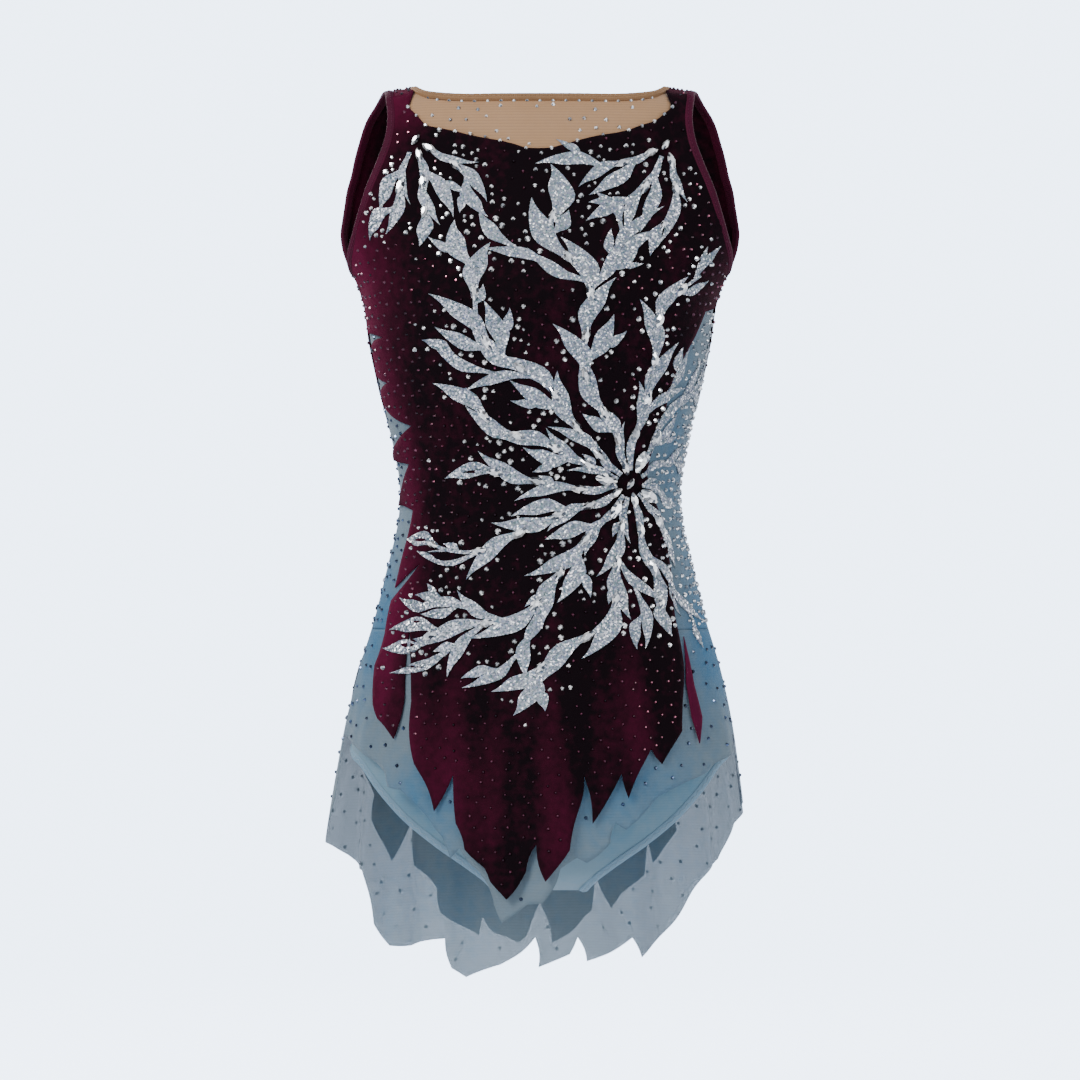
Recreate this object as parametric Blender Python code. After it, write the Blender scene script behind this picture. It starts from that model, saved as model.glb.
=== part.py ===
"""Sleeveless gymnastics leotard with a petal skirt, hollow, in the form it has when worn.

Millimetres in the tables, metres in the meshes. +Z is up and z = 0 is the shoulder seam; the wearer
faces -Y and +X is the wearer's left. A panel is an outline on the body's surface, given in front or
back view coordinates, cut along one shared lattice and given its thickness outwards, so that layers
follow one another with an even gap.
"""
import math

import bmesh
import bpy
import numpy as np
from mathutils import Matrix, Vector

NAME = "petal_leotard"
MM = 0.001

# driving sizes, mm
NET_WALL = 1.2  # net panels and the brief
VELVET_WALL = 1.3
SEAM_GAP = 0.3  # between two layers
VELVET_BASE = NET_WALL + SEAM_GAP
PETAL_LIFT = 7.0  # how far a velvet petal's tip hangs off the net
BRIEF_BASE = -1.9
BINDING_WIDTH = 6.0
BINDING_INNER, BINDING_OUTER = 0.3, 3.5  # folded elastic, over and under the panel's edge
LEG_INNER, LEG_OUTER = -2.7, 0.1
EDGE_GAP = 0.9  # panel's raw edge to the binding's
APPLIQUE_WALL = 1.0
HIP_SEAM = -428.0  # z where net side panels end and the net skirt starts
BRIEF_TOP = -418.0
SHOULDER_FALL = 0.003  # how fast the shoulder falls away beyond NECK_ROOT
NECK_ROOT = 85.0
FALL_END = 140.0
SECTION_POWER = 2.2  # of the body's rounded cross-section
AROUND, ROW_STEP = 44, 24  # lattice: cells round the body, mm between rows
BRIEF_AROUND, BRIEF_STEP = 26, 34
TOP_ROWS = (0, 16, 32, 48, 66, 86, 108)
TORSO_END, SKIRT_END = 732, 790

# surface rows: v = length down the surface, z = height, half width, depth in front and behind
BODY_ROWS = (
    (0, 0, 140, 0, 0),
    (22, -2, 143, 22, 20),
    (40, -5, 146, 40, 34),
    (55, -10, 150, 54, 46),
    (68, -20, 157, 62, 57),
    (94, -45, 172, 68, 68),
    (122, -71, 176, 76, 78),
    (152, -100, 168, 86, 86),
    (174, -122, 160, 95, 89),
    (189, -137, 152, 102, 90),
    (202, -150, 145, 107, 91),
    (219, -167, 139, 112, 90),
    (252, -200, 134, 106, 84),
    (292, -240, 126, 95, 75),
    (332, -280, 117, 86, 70),
    (369, -317, 111, 80, 68),
    (392, -340, 112, 82, 73),
    (432, -380, 121, 87, 88),
    (472, -420, 131, 92, 101),
    (512, -460, 143, 95, 112),
)
BRIEF_ROWS = (
    (552, -500, 150, 96, 112),
    (591, -538, 151, 86, 104),
    (636, -579, 150, 70, 86),
    (661, -601, 148, 57, 70),
    (690, -623, 145, 38, 46),
    (711, -632, 143, 20, 25),
    (732, -638, 140, 0, 0),
)
SKIRT_ROWS = (
    (552, -500, 152, 101, 121),
    (592, -540, 158, 105, 127),
    (652, -600, 165, 110, 133),
    (712, -660, 169, 114, 138),
    (790, -738, 173, 117, 143),
)
# skirt waves: waves round, phase in degrees, reach in mm at WAVE_FULL below WAVE_START
WAVES = ((7, 20, 4.2), (11, 75, 3.2), (4, 140, 2.2))
WAVE_START, WAVE_FULL = 500.0, 200.0

# free edges, x and z from neck or shoulder; the side and the ridges are added by the functions
RIDGE_NECK, RIDGE_ARM = 97.0, 125.0
NECK_FRONT = ((94, -4), (85, -8), (60, -10), (30, -10), (0, -10))
NECK_BACK = ((102, -8), (107, -20), (110, -37), (106, -60), (83, -77), (58, -87), (28, -93), (0, -95))
ARM_FRONT = (
    (121, -10), (119, -25), (121, -42), (127, -60), (135, -80), (142, -102), (147, -119), (150, -130),
)
ARM_BACK = ((131, -8), (139, -20), (145, -37), (151, -62), (156, -90), (158, -112))
ARMPIT = -141.0
LEG_TOP, RIDGE_LEG = -527.0, 38.0
LEG_FRONT = ((142, -537), (128, -556), (108, -578), (84, -598), (62, -614), (46, -627))
LEG_BACK = ((146, -537), (134, -555), (114, -578), (90, -600), (66, -617), (50, -628))

# front velvet, from the wearer's right armpit down: x, z; its edge is jagged over the blue net
FRONT_RIGHT = (
    (-139, -168), (-134, -194), (-121, -199), (-131, -204), (-127, -228), (-118, -234), (-124, -240),
    (-121, -252),
    (-99, -268), (-115, -294), (-101, -298), (-110, -331), (-98, -335), (-112, -396), (-92, -376),
    (-115, -406), (-120, -432), (-128, -457), (-129, -487), (-126, -498),
)
FRONT_HEM = (
    (-112, -513), (-104, -482), (-100, -424), (-98, -484), (-94, -532), (-81, -568), (-66, -539),
    (-64, -577), (-58, -597), (-43, -611), (-38, -621), (-25, -635), (-9, -614), (-1, -592), (5, -621),
    (20, -597), (29, -565), (33, -539), (40, -577), (63, -539), (68, -558), (86, -520), (95, -532),
)
FRONT_LEFT = (
    (109, -507), (110, -482), (107, -432), (102, -387), (94, -342), (82, -307), (90, -277), (99, -242),
    (109, -217), (128, -178), (139, -168),
)
FRONT_TOP = (
    (103, -19), (89, -31), (69, -38), (49, -42), (29, -47), (9, -53), (-11, -53), (-31, -47), (-66, -39),
    (-89, -34), (-103, -19),
)
# back velvet, seen from behind: x to the right of the picture (the wearer's right), z
BACK_LEFT = (
    (-126, -238), (-111, -262), (-100, -292), (-88, -317), (-73, -337), (-86, -367), (-93, -392),
    (-92, -419), (-105, -467), (-114, -502), (-118, -537), (-111, -577), (-112, -597),
)
BACK_HEM = (
    (-89, -624), (-85, -607), (-82, -635), (-68, -648), (-53, -664), (-42, -637), (-40, -667),
    (-30, -680), (-13, -693), (-4, -659), (6, -680), (22, -693), (38, -684), (47, -670), (50, -686),
    (82, -667), (85, -647), (99, -627), (100, -587), (118, -622), (133, -587), (131, -567), (142, -542),
)
BACK_RIGHT = (
    (149, -505), (142, -460), (130, -422), (123, -400), (114, -407), (109, -388), (107, -414),
    (101, -402), (96, -387), (94, -347), (103, -320), (87, -345), (74, -367), (82, -337), (95, -307),
    (116, -277), (134, -200),
)
BACK_TOP_RIGHT = (
    (119, -34), (121, -50), (117, -70), (110, -87), (103, -110), (91, -132), (78, -142), (58, -152), (34, -162),
    (17, -175), (34, -172), (64, -169), (94, -168), (79, -177), (49, -202), (30, -222), (8, -252),
    (35, -240), (70, -225), (50, -252), (31, -272), (16, -287), (7, -307),
)
BACK_TOP_LEFT = (
    (-11, -307), (-14, -292), (-24, -267), (-35, -247), (-50, -217), (-71, -187), (-86, -172),
    (-104, -155), (-76, -157), (-46, -167), (-16, -177), (2, -181), (-16, -171), (-46, -157),
    (-70, -142), (-90, -122), (-100, -102), (-110, -87), (-117, -70), (-121, -50), (-119, -34),
)
# net under the velvet: it runs on a seam allowance beyond what shows
INSET = (
    (121, -47), (118, -95), (106, -140), (99, -176), (84, -232), (60, -260), (26, -294), (16, -316),
    (-20, -316), (-24, -296), (-44, -252), (-62, -220), (-98, -184), (-114, -156), (-118, -95), (-124, -47),
)
YOKE_LOW = (
    (-97, -30), (-89, -41), (-66, -47), (-31, -55), (-11, -61), (9, -61), (29, -55), (49, -50), (69, -46),
    (89, -38), (97, -28),
)
SIDE_LEFT_FRONT = (
    (131, -158), (124, -170), (100, -217), (90, -242), (81, -277), (72, -307), (85, -345), (93, -389),
    (97, -428),
)
SIDE_LEFT_BACK = (
    (-82, -428), (-82, -392), (-76, -367), (-62, -338), (-78, -312), (-91, -285), (-102, -256), (-124, -222),
    (-137, -170),
)
SIDE_RIGHT_FRONT = (
    (-118, -186), (-110, -228), (-88, -264), (-88, -300), (-87, -340), (-81, -372), (-100, -428),
)
SIDE_RIGHT_BACK = (
    (86, -428), (86, -347), (64, -370), (73, -332), (87, -300), (104, -268), (124, -195),
)
NET_HEM_FRONT = (
    (-140, -524), (-122, -539), (-119, -550), (-107, -552), (-85, -574), (-76, -587), (-69, -604),
    (-62, -596), (-48, -614), (-36, -640), (-30, -653), (-10, -639), (2, -637), (15, -611), (28, -603),
    (36, -607), (55, -592), (59, -577), (67, -582), (94, -557), (124, -543), (136, -533),
)
NET_HEM_BACK = (
    (-164, -567), (-155, -587), (-148, -617), (-141, -622), (-122, -655), (-100, -687), (-83, -703),
    (-75, -687), (-37, -708), (-30, -688), (-24, -702), (1, -712), (4, -687), (33, -710), (61, -720),
    (74, -712), (80, -687), (105, -692), (123, -691), (135, -672), (144, -627), (158, -612), (164, -600),
)
NET_SIDE_FRONT, NET_SIDE_BACK = -509.0, -560.0
# narrow velvet petals at the wearer's left hip
HIP_DARK = (
    (-98, -395), (-103, -417), (-110, -447), (-119, -487), (-127, -520), (-131, -530), (-133, -512),
    (-129, -487), (-121, -457), (-113, -427), (-106, -400),
)
HIP_CRIMSON = (
    (-110, -392), (-116, -417), (-124, -442), (-133, -477), (-139, -492), (-139, -467), (-131, -437),
    (-121, -402),
)
HIP_FRONT = ((111, -434), (119, -472), (125, -497), (123, -517), (117, -496), (113, -470))

# glitter leaf sprays: hub angle, hub z, gap to the velvet, then rays of bearing, length, leaves;
# bearing 0 is up, 90 the wearer's left
SPRAYS = {
    "applique_front": (37.0, -314.0, 2.0, (
        (-2, 205, 4), (-25, 245, 4), (-47, 215, 3), (-70, 150, 3), (-97, 125, 2), (-121, 170, 4),
        (-146, 205, 4), (-170, 175, 3), (163, 105, 2), (135, 62, 1), (98, 46, 0), (60, 62, 1), (27, 125, 2))),
    "applique_back": (140.0, -340.0, 1.4, (
        (-8, 112, 2), (24, 92, 1), (55, 118, 2), (84, 112, 2), (110, 150, 3), (133, 205, 4),
        (152, 216, 3), (168, 158, 3), (-166, 82, 1), (-140, 54, 1), (-104, 42, 0), (-68, 42, 0),
        (-36, 66, 1))),
    "applique_shoulder_left": (33.0, -50.0, 1.0, ((-162, 64, 1), (166, 76, 1), (-125, 58, 1))),
    "applique_shoulder_right": (-33.0, -46.0, 1.2, ((-168, 70, 1), (162, 74, 1), (122, 62, 1))),
    "applique_back_right": (222.0, -66.0, 1.4, ((-176, 84, 2), (152, 104, 2), (-142, 70, 1))),
    "applique_back_left": (138.0, -58.0, 1.5, ((-166, 58, 1), (164, 62, 1))),
}
STEM_HALF, STEM_STEP, LEAF_REACH, HUB_RADIUS = 2.4, 17.0, 14.0, 7.0
RAY_BEND = 14.0  # degrees a ray turns over its length
LEAF = ((0.5, 0.68), (1.75, 1.1), (0.95, 0.3))  # steps on along the ray, reaches out from it
LEAF_WIDEST = 1.1
RAY_SHARE = 0.42  # of the angle to the next ray, on each side
# large set stones: hub, bearing, distance, length, gap to the spray
STONES = (
    ("applique_front", 20, 19, 20, 0.8), ("applique_front", -80, 20, 20, 0.8),
    ("applique_front", -150, 24, 18, 0.8), ("applique_front", 120, 20, 20, 0.8),
    ("applique_back", -10, 22, 15, 0.8), ("applique_back", -106, 15, 18, 0.5),
    ("applique_back", 160, 23, 18, 0.8), ("applique_back", 75, 21, 20, 0.8),
)
STONE_WIDTH, STONE_HEIGHT = 0.45, 4.0

# viewport colours: red, green, blue, roughness
VELVET = (0.028, 0.004, 0.012, 0.95)
CRIMSON = (0.16, 0.006, 0.045, 0.9)
BLUE_NET = (0.20, 0.34, 0.42, 0.75)
NUDE_NET = (0.56, 0.36, 0.20, 0.75)
NUDE_BINDING = (0.45, 0.27, 0.15, 0.7)
WINE_BINDING = (0.09, 0.008, 0.04, 0.6)
GLITTER = (0.55, 0.58, 0.62, 0.35)
CRYSTAL = (0.85, 0.88, 0.92, 0.05)


def hermite(rows, column, v):
    """A smooth curve through one column of rows, at v."""
    table = np.array(rows, float)
    at, values = table[:, 0], table[:, column]
    slopes = np.gradient(values, at)
    k = int(np.clip(np.searchsorted(at, v) - 1, 0, len(at) - 2))
    step = at[k + 1] - at[k]
    t = (v - at[k]) / step
    return float(
        (2 * t**3 - 3 * t**2 + 1) * values[k] + (t**3 - 2 * t**2 + t) * step * slopes[k]
        + (3 * t**2 - 2 * t**3) * values[k + 1] + (t**3 - t**2) * step * slopes[k + 1]
    )


class Surface:
    """A form the cloth follows, as smooth rows and as the shared lattice of flat facets."""

    def __init__(self, rows, end, waves=False, around=AROUND, step=ROW_STEP):
        self.rows = rows
        self.end = end
        self.waves = waves
        self.around = around
        lines = list(TOP_ROWS) + list(range(TOP_ROWS[-1] + step, end - step // 2, step)) + [end]
        self.lines = [float(v) for v in lines]
        fine = np.linspace(0, end, 800)
        self.fine_v = fine
        self.fine_z = np.array([hermite(rows, 1, v) for v in fine])
        angles = [360 * i / around for i in range(around)]
        self.points = np.array([[self.smooth(a, v) for a in angles] for v in self.lines])
        self.normals = np.array([[self.normal(a, v) for a in angles] for v in self.lines])

    def smooth(self, degrees, v):
        """Point of the smooth form, mm, at an angle from the front centre and a length v down."""
        angle = math.radians(degrees)
        across, along = math.sin(angle), math.cos(angle)
        length = (abs(across) ** SECTION_POWER + abs(along) ** SECTION_POWER) ** (-1 / SECTION_POWER)
        half, front, back = (hermite(self.rows, column, v) for column in (2, 3, 4))
        wave = 1.0
        if self.waves and v > WAVE_START:
            reach = min(1.0, (v - WAVE_START) / WAVE_FULL)
            wave += sum(w * math.sin(math.radians(n * degrees + phase)) for n, phase, w in WAVES) * reach / half
        x = half * length * across * wave
        y = -(front if along > 0 else back) * length * along * wave
        fall = SHOULDER_FALL * max(0.0, abs(x) - NECK_ROOT) ** 2 * max(0.0, 1 - v / FALL_END)
        return np.array((x, y, hermite(self.rows, 1, v) - fall))

    def slopes(self, degrees, v):
        """Change of the point per degree and per mm of v."""
        low, high = max(v - 1.0, 0.0), min(v + 1.0, self.end)
        by_angle = (self.smooth(degrees + 0.5, v) - self.smooth(degrees - 0.5, v))
        if v < 1e-6 or v > self.end - 1e-6:
            by_angle[1] = 0.0
        return by_angle, (self.smooth(degrees, high) - self.smooth(degrees, low)) / (high - low)

    def normal(self, degrees, v):
        by_angle, by_v = self.slopes(degrees, v)
        out = np.cross(by_v, by_angle)
        if v < 1e-6 or v > self.end - 1e-6:
            out[1] = 0.0  # front and back share a ridge
        return out / np.linalg.norm(out)

    def v_of(self, z):
        return float(np.interp(-z, -self.fine_z, self.fine_v))

    def lattice(self, degrees, v):
        """Lattice column and row, as real numbers."""
        return degrees * self.around / 360, float(np.interp(v, self.lines, range(len(self.lines))))

    def facet(self, i, j):
        """Point and offset direction on the flat facet at a lattice position."""
        j = min(max(j, 0.0), len(self.lines) - 1.0)
        row = min(int(j), len(self.lines) - 2)
        column = math.floor(i)
        a, b = i - column, j - row

        def read(grid):
            here, beside = column % self.around, (column + 1) % self.around
            near, right = grid[row, here], grid[row, beside]
            below, far = grid[row + 1, here], grid[row + 1, beside]
            if a + b <= 1:
                return near + a * (right - near) + b * (below - near)
            return far + (1 - a) * (below - far) + (1 - b) * (right - far)

        return read(self.points), read(self.normals), float(np.interp(j, range(len(self.lines)), self.lines))

    def front(self, x, z):
        """Angle and v of a place seen in front view."""
        v = self.v_of(z)
        share = max(-0.99999, min(0.99999, x / hermite(self.rows, 2, v)))
        return math.degrees(math.atan2(share, (1 - abs(share) ** SECTION_POWER) ** (1 / SECTION_POWER))), v

    def back(self, x, z):
        """The same from behind, where x grows to the wearer's right."""
        angle, v = self.front(x, z)
        return 180 + angle, v


TORSO = Surface(BODY_ROWS + BRIEF_ROWS, TORSO_END)
BRIEF = Surface(BODY_ROWS + BRIEF_ROWS, TORSO_END, around=BRIEF_AROUND, step=BRIEF_STEP)
SKIRT = Surface(BODY_ROWS + SKIRT_ROWS, SKIRT_END, waves=True)


def velvet_base(v):
    """Offset of velvet's inner face: petals hang clear of the net."""
    return VELVET_BASE + PETAL_LIFT * max(0.0, (v - 500) / 240) ** 1.3


def spread(points, step):
    """More points along a run of (angle, v) places, on a smooth curve through them."""
    table = [(k, *p) for k, p in enumerate(points)]
    out = []
    for k in range(len(points) - 1):
        (a0, v0), (a1, v1) = points[k], points[k + 1]
        count = max(1, round(math.hypot((a1 - a0) * 2.2, v1 - v0) / step))
        out += [(hermite(table, 1, k + t / count), hermite(table, 2, k + t / count)) for t in range(count)]
    return out + [tuple(points[-1])]


class Edge:
    """A closed run of the garment's free edge, with the directions a binding needs."""

    def __init__(self, surface, places):
        self.surface = surface
        self.places = places
        points = np.array([surface.smooth(a, v) for a, v in places])
        along = np.roll(points, -1, 0) - np.roll(points, 1, 0)
        normals = np.array([surface.normal(a, v) for a, v in places])
        side = np.cross(along, normals)
        self.side = side / np.linalg.norm(side, axis=1)[:, None]
        self.points, self.normals = points, normals

    def moved(self, distance):
        """(angle, v) places a distance in from the edge, mm."""
        out = []
        for (a, v), side in zip(self.places, self.side):
            by_angle, by_v = self.surface.slopes(a, v)
            basis = np.array((by_angle, by_v))
            change = np.linalg.solve(basis @ basis.T, basis @ (side * distance))
            out.append((a + change[0], v + change[1]))
        return out


def mirrored(places):
    return [(-a, v) for a, v in places]


def neck_edge():
    """Front centre to the wearer's left, over the ridge, across the back and round to the front."""
    ridge_front = (TORSO.front(RIDGE_NECK, 0)[0], 0.0)
    front = [TORSO.front(*p) for p in NECK_FRONT][::-1] + [ridge_front]
    back = [(180 - ridge_front[0], 0.0)] + [TORSO.back(-x, z) for x, z in NECK_BACK]
    front, back = spread(front, 18), spread(back, 18)
    left = front + back[1:]
    right = [(360 - a, v) for a, v in left[1:-1]][::-1]
    return Edge(TORSO, left + right), len(front) - 1, len(left) - 1


def arm_edge():
    """The wearer's left armhole: shoulder ridge, down the front, up the back."""
    ridge = TORSO.front(RIDGE_ARM, 0)[0]
    lowest = (90.0, TORSO.v_of(ARMPIT))
    front = [(ridge, 0.0)] + [TORSO.front(*p) for p in ARM_FRONT] + [(81.0, TORSO.v_of(ARMPIT + 2.5)), lowest]
    back = [lowest, (99.0, TORSO.v_of(ARMPIT + 7.0))] + [TORSO.back(-x, z) for x, z in ARM_BACK[::-1]]
    back += [(180 - ridge, 0.0)]
    front, back = spread(front, 17), spread(back, 17)
    return Edge(TORSO, front + back[1:-1]), len(front) - 1


def leg_edge():
    """The wearer's left leg opening: hip, down the front, through the crotch, up the back."""
    ridge = TORSO.front(RIDGE_LEG, -638)[0]
    hip = (90.0, TORSO.v_of(LEG_TOP))
    front = [hip] + [TORSO.front(*p) for p in LEG_FRONT] + [(ridge, float(TORSO_END))]
    back = [(180 - ridge, float(TORSO_END))] + [TORSO.back(-x, z) for x, z in LEG_BACK[::-1]] + [hip]
    front, back = spread(front, 24), spread(back, 24)
    return Edge(TORSO, front + back[1:-1]), len(front) - 1


def material(name, colour):
    made = bpy.data.materials.new(name)
    made.use_nodes = True
    shader = made.node_tree.nodes["Principled BSDF"]
    shader.inputs["Base Color"].default_value = (*colour[:3], 1.0)
    shader.inputs["Roughness"].default_value = colour[3]
    made.diffuse_color = (*colour[:3], 1.0)
    return made


def add_object(name, bm, colour, smooth=True):
    """One closed body from a bmesh, faces out."""
    bmesh.ops.recalc_face_normals(bm, faces=bm.faces)
    if bm.calc_volume(signed=True) < 0:
        bmesh.ops.reverse_faces(bm, faces=bm.faces)
    mesh = bpy.data.meshes.new(name)
    bm.to_mesh(mesh)
    bm.free()
    mesh.polygons.foreach_set("use_smooth", [smooth] * len(mesh.polygons))
    if smooth:
        mesh.set_sharp_from_angle(angle=math.radians(50))
    mesh.materials.append(material(name + "_mat", colour))
    made = bpy.data.objects.new(name, mesh)
    PARTS.objects.link(made)
    return made


def key_of(vert):
    return round(vert.co.x, 7), round(vert.co.y, 7)


def thicken(bm, inner, outer):
    """Give a flat cut piece, whose verts are keys of inner and outer, its two faces."""
    made = bmesh.ops.extrude_face_region(bm, geom=bm.faces[:])
    tops = {v for v in made["geom"] if isinstance(v, bmesh.types.BMVert)}
    for vert in bm.verts:
        vert.co = Vector((outer if vert in tops else inner)[key_of(vert)]) * MM


def panel(name, colour, surface, outline, base, wall):
    """Cut an outline of (angle, v) places on the lattice, wrap it and thicken it.

    Args:
        base: offset of the inner face, mm, or a function of v.
        wall: thickness, mm.
    """
    bm = bmesh.new()
    corners = [surface.lattice(a, v) for a, v in outline]
    bm.faces.new([bm.verts.new((i, j, 0)) for i, j in corners])
    low = [math.floor(min(c)) for c in zip(*corners)]
    high = [math.ceil(max(c)) for c in zip(*corners)]
    cuts = [((k, 0, 0), (1, 0, 0)) for k in range(low[0] + 1, high[0])]
    cuts += [((0, k, 0), (0, 1, 0)) for k in range(low[1] + 1, high[1])]
    cuts += [((k, 0, 0), (1, 1, 0)) for k in range(low[0] + low[1] + 1, high[0] + high[1])]
    for point, normal in cuts:
        bmesh.ops.bisect_plane(
            bm, geom=bm.verts[:] + bm.edges[:] + bm.faces[:], dist=1e-5, plane_co=point, plane_no=normal
        )
    bmesh.ops.triangulate(bm, faces=bm.faces[:], quad_method="BEAUTY", ngon_method="BEAUTY")
    inner, outer = {}, {}
    for vert in bm.verts:
        point, normal, v = surface.facet(vert.co.x, vert.co.y)
        start = base(v) if callable(base) else base
        inner[key_of(vert)] = point + start * normal
        outer[key_of(vert)] = point + (start + wall) * normal
    thicken(bm, inner, outer)
    return add_object(name, bm, colour)


def binding(name, colour, edge, inner, outer, flip=False):
    """Folded elastic on a closed free edge; flip makes the mirrored one."""
    middle, half = (inner + outer) / 2, (outer - inner) / 2
    section = (
        (0.0, middle - 0.45 * half), (0.9, inner), (BINDING_WIDTH, inner), (BINDING_WIDTH, outer), (0.9, outer),
        (0.0, middle + 0.45 * half),
    )
    count, around = len(edge.places), len(section)
    bm = bmesh.new()
    grid = bmesh.ops.create_grid(bm, x_segments=count, y_segments=around, size=1)
    verts = sorted(grid["verts"], key=lambda v: (round(v.co.x, 5), round(v.co.y, 5)))
    for k, vert in enumerate(verts):
        station, corner = divmod(k, around + 1)
        s, (across, out) = station % count, section[corner % around]
        place = edge.points[s] + across * edge.side[s] + out * edge.normals[s]
        vert.co = Vector((-place[0] if flip else place[0], place[1], place[2])) * MM
    bmesh.ops.remove_doubles(bm, verts=bm.verts, dist=1e-7)
    return add_object(name, bm, colour)


def ray_sides(bearing, length, leaves, gap):
    """Left and right side of a leafy ray, each from the hub outwards, as (s, t) mm from the hub."""

    def place(r, off):
        turned = math.radians(bearing + RAY_BEND * (r / length) ** 1.5)
        x, y = r * math.sin(turned), r * math.cos(turned)
        return x + off * math.cos(turned), y - off * math.sin(turned)

    sides = []
    for side in (-1, 1):
        run = []
        steps = max(2, round((length - HUB_RADIUS) / STEM_STEP))
        slots = [1 + round((k + 0.6 + 0.2 * side) * (steps - 2) / (leaves + 0.2)) for k in range(leaves)]
        for k in range(steps):
            r = HUB_RADIUS + (length - HUB_RADIUS) * k / steps
            room = RAY_SHARE * r * math.radians(gap)
            half = min(STEM_HALF * (1.9 if k == steps - 1 else 1.2 - 0.5 * k / steps), room)
            run.append(place(r, side * half))
            if k in slots and k - 1 not in slots and 0 < k < steps - 2:
                reach = min(LEAF_REACH, (room - half) / LEAF_WIDEST)
                for forward, outward in LEAF:
                    run.append(place(r + forward * STEM_STEP, side * (half + outward * reach)))
        sides.append(run)
    return sides, place(length, 0)


def spray(name, hub_angle, hub_z, gap_below, rays):
    """A glitter leaf spray: one flat cut piece laid over the velvet."""
    surface = SKIRT
    hub_v = surface.v_of(hub_z)
    per_degree = float(np.linalg.norm(surface.slopes(hub_angle, hub_v)[0]))
    rays = sorted(((b + 360) % 360, length, leaves) for b, length, leaves in rays)
    outline = []
    for k, (bearing, length, leaves) in enumerate(rays):
        gaps = [(rays[k - 1][0] - bearing) % 360, (bearing - rays[(k + 1) % len(rays)][0]) % 360]
        gap = min(min(g, 360 - g) for g in gaps)
        (left, right), tip = ray_sides(bearing, length, leaves, gap)
        outline += left + [tip] + right[::-1]
    bm = bmesh.new()
    bm.faces.new([bm.verts.new((s, t, 0)) for s, t in outline])
    bmesh.ops.triangulate(bm, faces=bm.faces[:], quad_method="BEAUTY", ngon_method="BEAUTY")
    inner, outer = {}, {}
    for vert in bm.verts:
        v = hub_v - vert.co.y
        point, normal, v = surface.facet(*surface.lattice(hub_angle + vert.co.x / per_degree, v))
        start = velvet_base(v) + VELVET_WALL + gap_below
        inner[key_of(vert)] = point + start * normal
        outer[key_of(vert)] = point + (start + APPLIQUE_WALL) * normal
    thicken(bm, inner, outer)
    return add_object(name, bm, GLITTER)


def stone(name, hub, bearing, distance, length, gap):
    """A pointed oval stone, cut with facets, set flat on the spray."""
    hub_angle, hub_z, gap_below, _ = SPRAYS[hub]
    v = SKIRT.v_of(hub_z)
    per_degree = float(np.linalg.norm(SKIRT.slopes(hub_angle, v)[0]))
    turned = math.radians(bearing)
    angle, v = hub_angle + distance * math.sin(turned) / per_degree, v - distance * math.cos(turned)
    point, normal = SKIRT.smooth(angle, v), SKIRT.normal(angle, v)
    by_angle, by_v = SKIRT.slopes(angle, v)
    along = by_angle / np.linalg.norm(by_angle) * math.sin(turned)
    along -= by_v / np.linalg.norm(by_v) * math.cos(turned)
    along -= normal * along.dot(normal)
    along /= np.linalg.norm(along)
    across = np.cross(normal, along)
    base = point + normal * (velvet_base(v) + VELVET_WALL + gap_below + APPLIQUE_WALL + gap)
    bm = bmesh.new()
    bmesh.ops.create_cone(bm, cap_ends=True, segments=8, radius1=1, radius2=0.55, depth=1)
    frame = Matrix.Identity(4)
    sides = ((along, length / 2), (across, length * STONE_WIDTH / 2), (normal, STONE_HEIGHT))
    for column, (axis, size) in enumerate(sides):
        for row in range(3):
            frame[row][column] = float(axis[row]) * size * MM
    for row in range(3):
        frame[row][3] = float(base[row] + normal[row] * STONE_HEIGHT / 2) * MM
    bmesh.ops.transform(bm, matrix=frame, verts=bm.verts)
    return add_object(name, bm, CRYSTAL, smooth=False)


for old in list(bpy.data.objects):
    bpy.data.objects.remove(old, do_unlink=True)
PARTS = bpy.data.collections.new(NAME)
bpy.context.scene.collection.children.link(PARTS)

neck, neck_ridge, neck_back_end = neck_edge()
arm, armpit = arm_edge()
leg, crotch = leg_edge()
IN = BINDING_WIDTH + EDGE_GAP
SIDE_PULL, RIDGE_PULL = 0.1, 0.25  # degrees and mm that front and back stop short of a shared seam


def halves(edge, turn, last):
    """The panels' own edge beside a binding, as its front run and its back run.

    Both start where front and back meet the first time: a ridge of the form.
    """
    moved = edge.moved(IN)
    top = edge.surface.end - RIDGE_PULL
    moved = [(a, min(max(v, RIDGE_PULL), top)) for a, v in moved]
    return moved[: turn + 1], moved[turn + 1:last]


def other_half(places):
    return [(360 - a, v) for a, v in places]


def front_places(rows):
    return [SKIRT.front(*row) for row in rows]


def back_places(rows, turned=0.0):
    return [(a + turned, v) for a, v in (SKIRT.back(*row) for row in rows)]


FRONT_SIDE, BACK_SIDE = 90 - SIDE_PULL, 90 + SIDE_PULL
neck_f, neck_b = halves(neck, neck_ridge, neck_back_end + 1)
neck_b = [(180 - neck_f[-1][0], neck_f[-1][1])] + neck_b
arm_f, arm_b = halves(arm, armpit, len(arm.places))
arm_f = [(min(a, FRONT_SIDE), v) for a, v in arm_f]
arm_b = [(BACK_SIDE, arm_f[-1][1])] + arm_b + [(180 - arm_f[0][0], arm_f[0][1])]
leg_f, leg_b = halves(leg, crotch, len(leg.places))
leg_f[0] = (FRONT_SIDE, leg_f[0][1])
leg_b = [(180 - leg_f[-1][0], leg_f[-1][1])] + leg_b + [(BACK_SIDE, leg_f[0][1])]

front_outline = (
    arm_f + front_places(FRONT_LEFT[::-1]) + front_places(FRONT_HEM[::-1]) + front_places(FRONT_RIGHT[::-1])
    + mirrored(arm_f[::-1]) + mirrored(neck_f[:-3:-1]) + front_places(FRONT_TOP[::-1]) + neck_f[-2:]
)
panel("front_velvet", VELVET, SKIRT, front_outline, velvet_base, VELVET_WALL)

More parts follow.
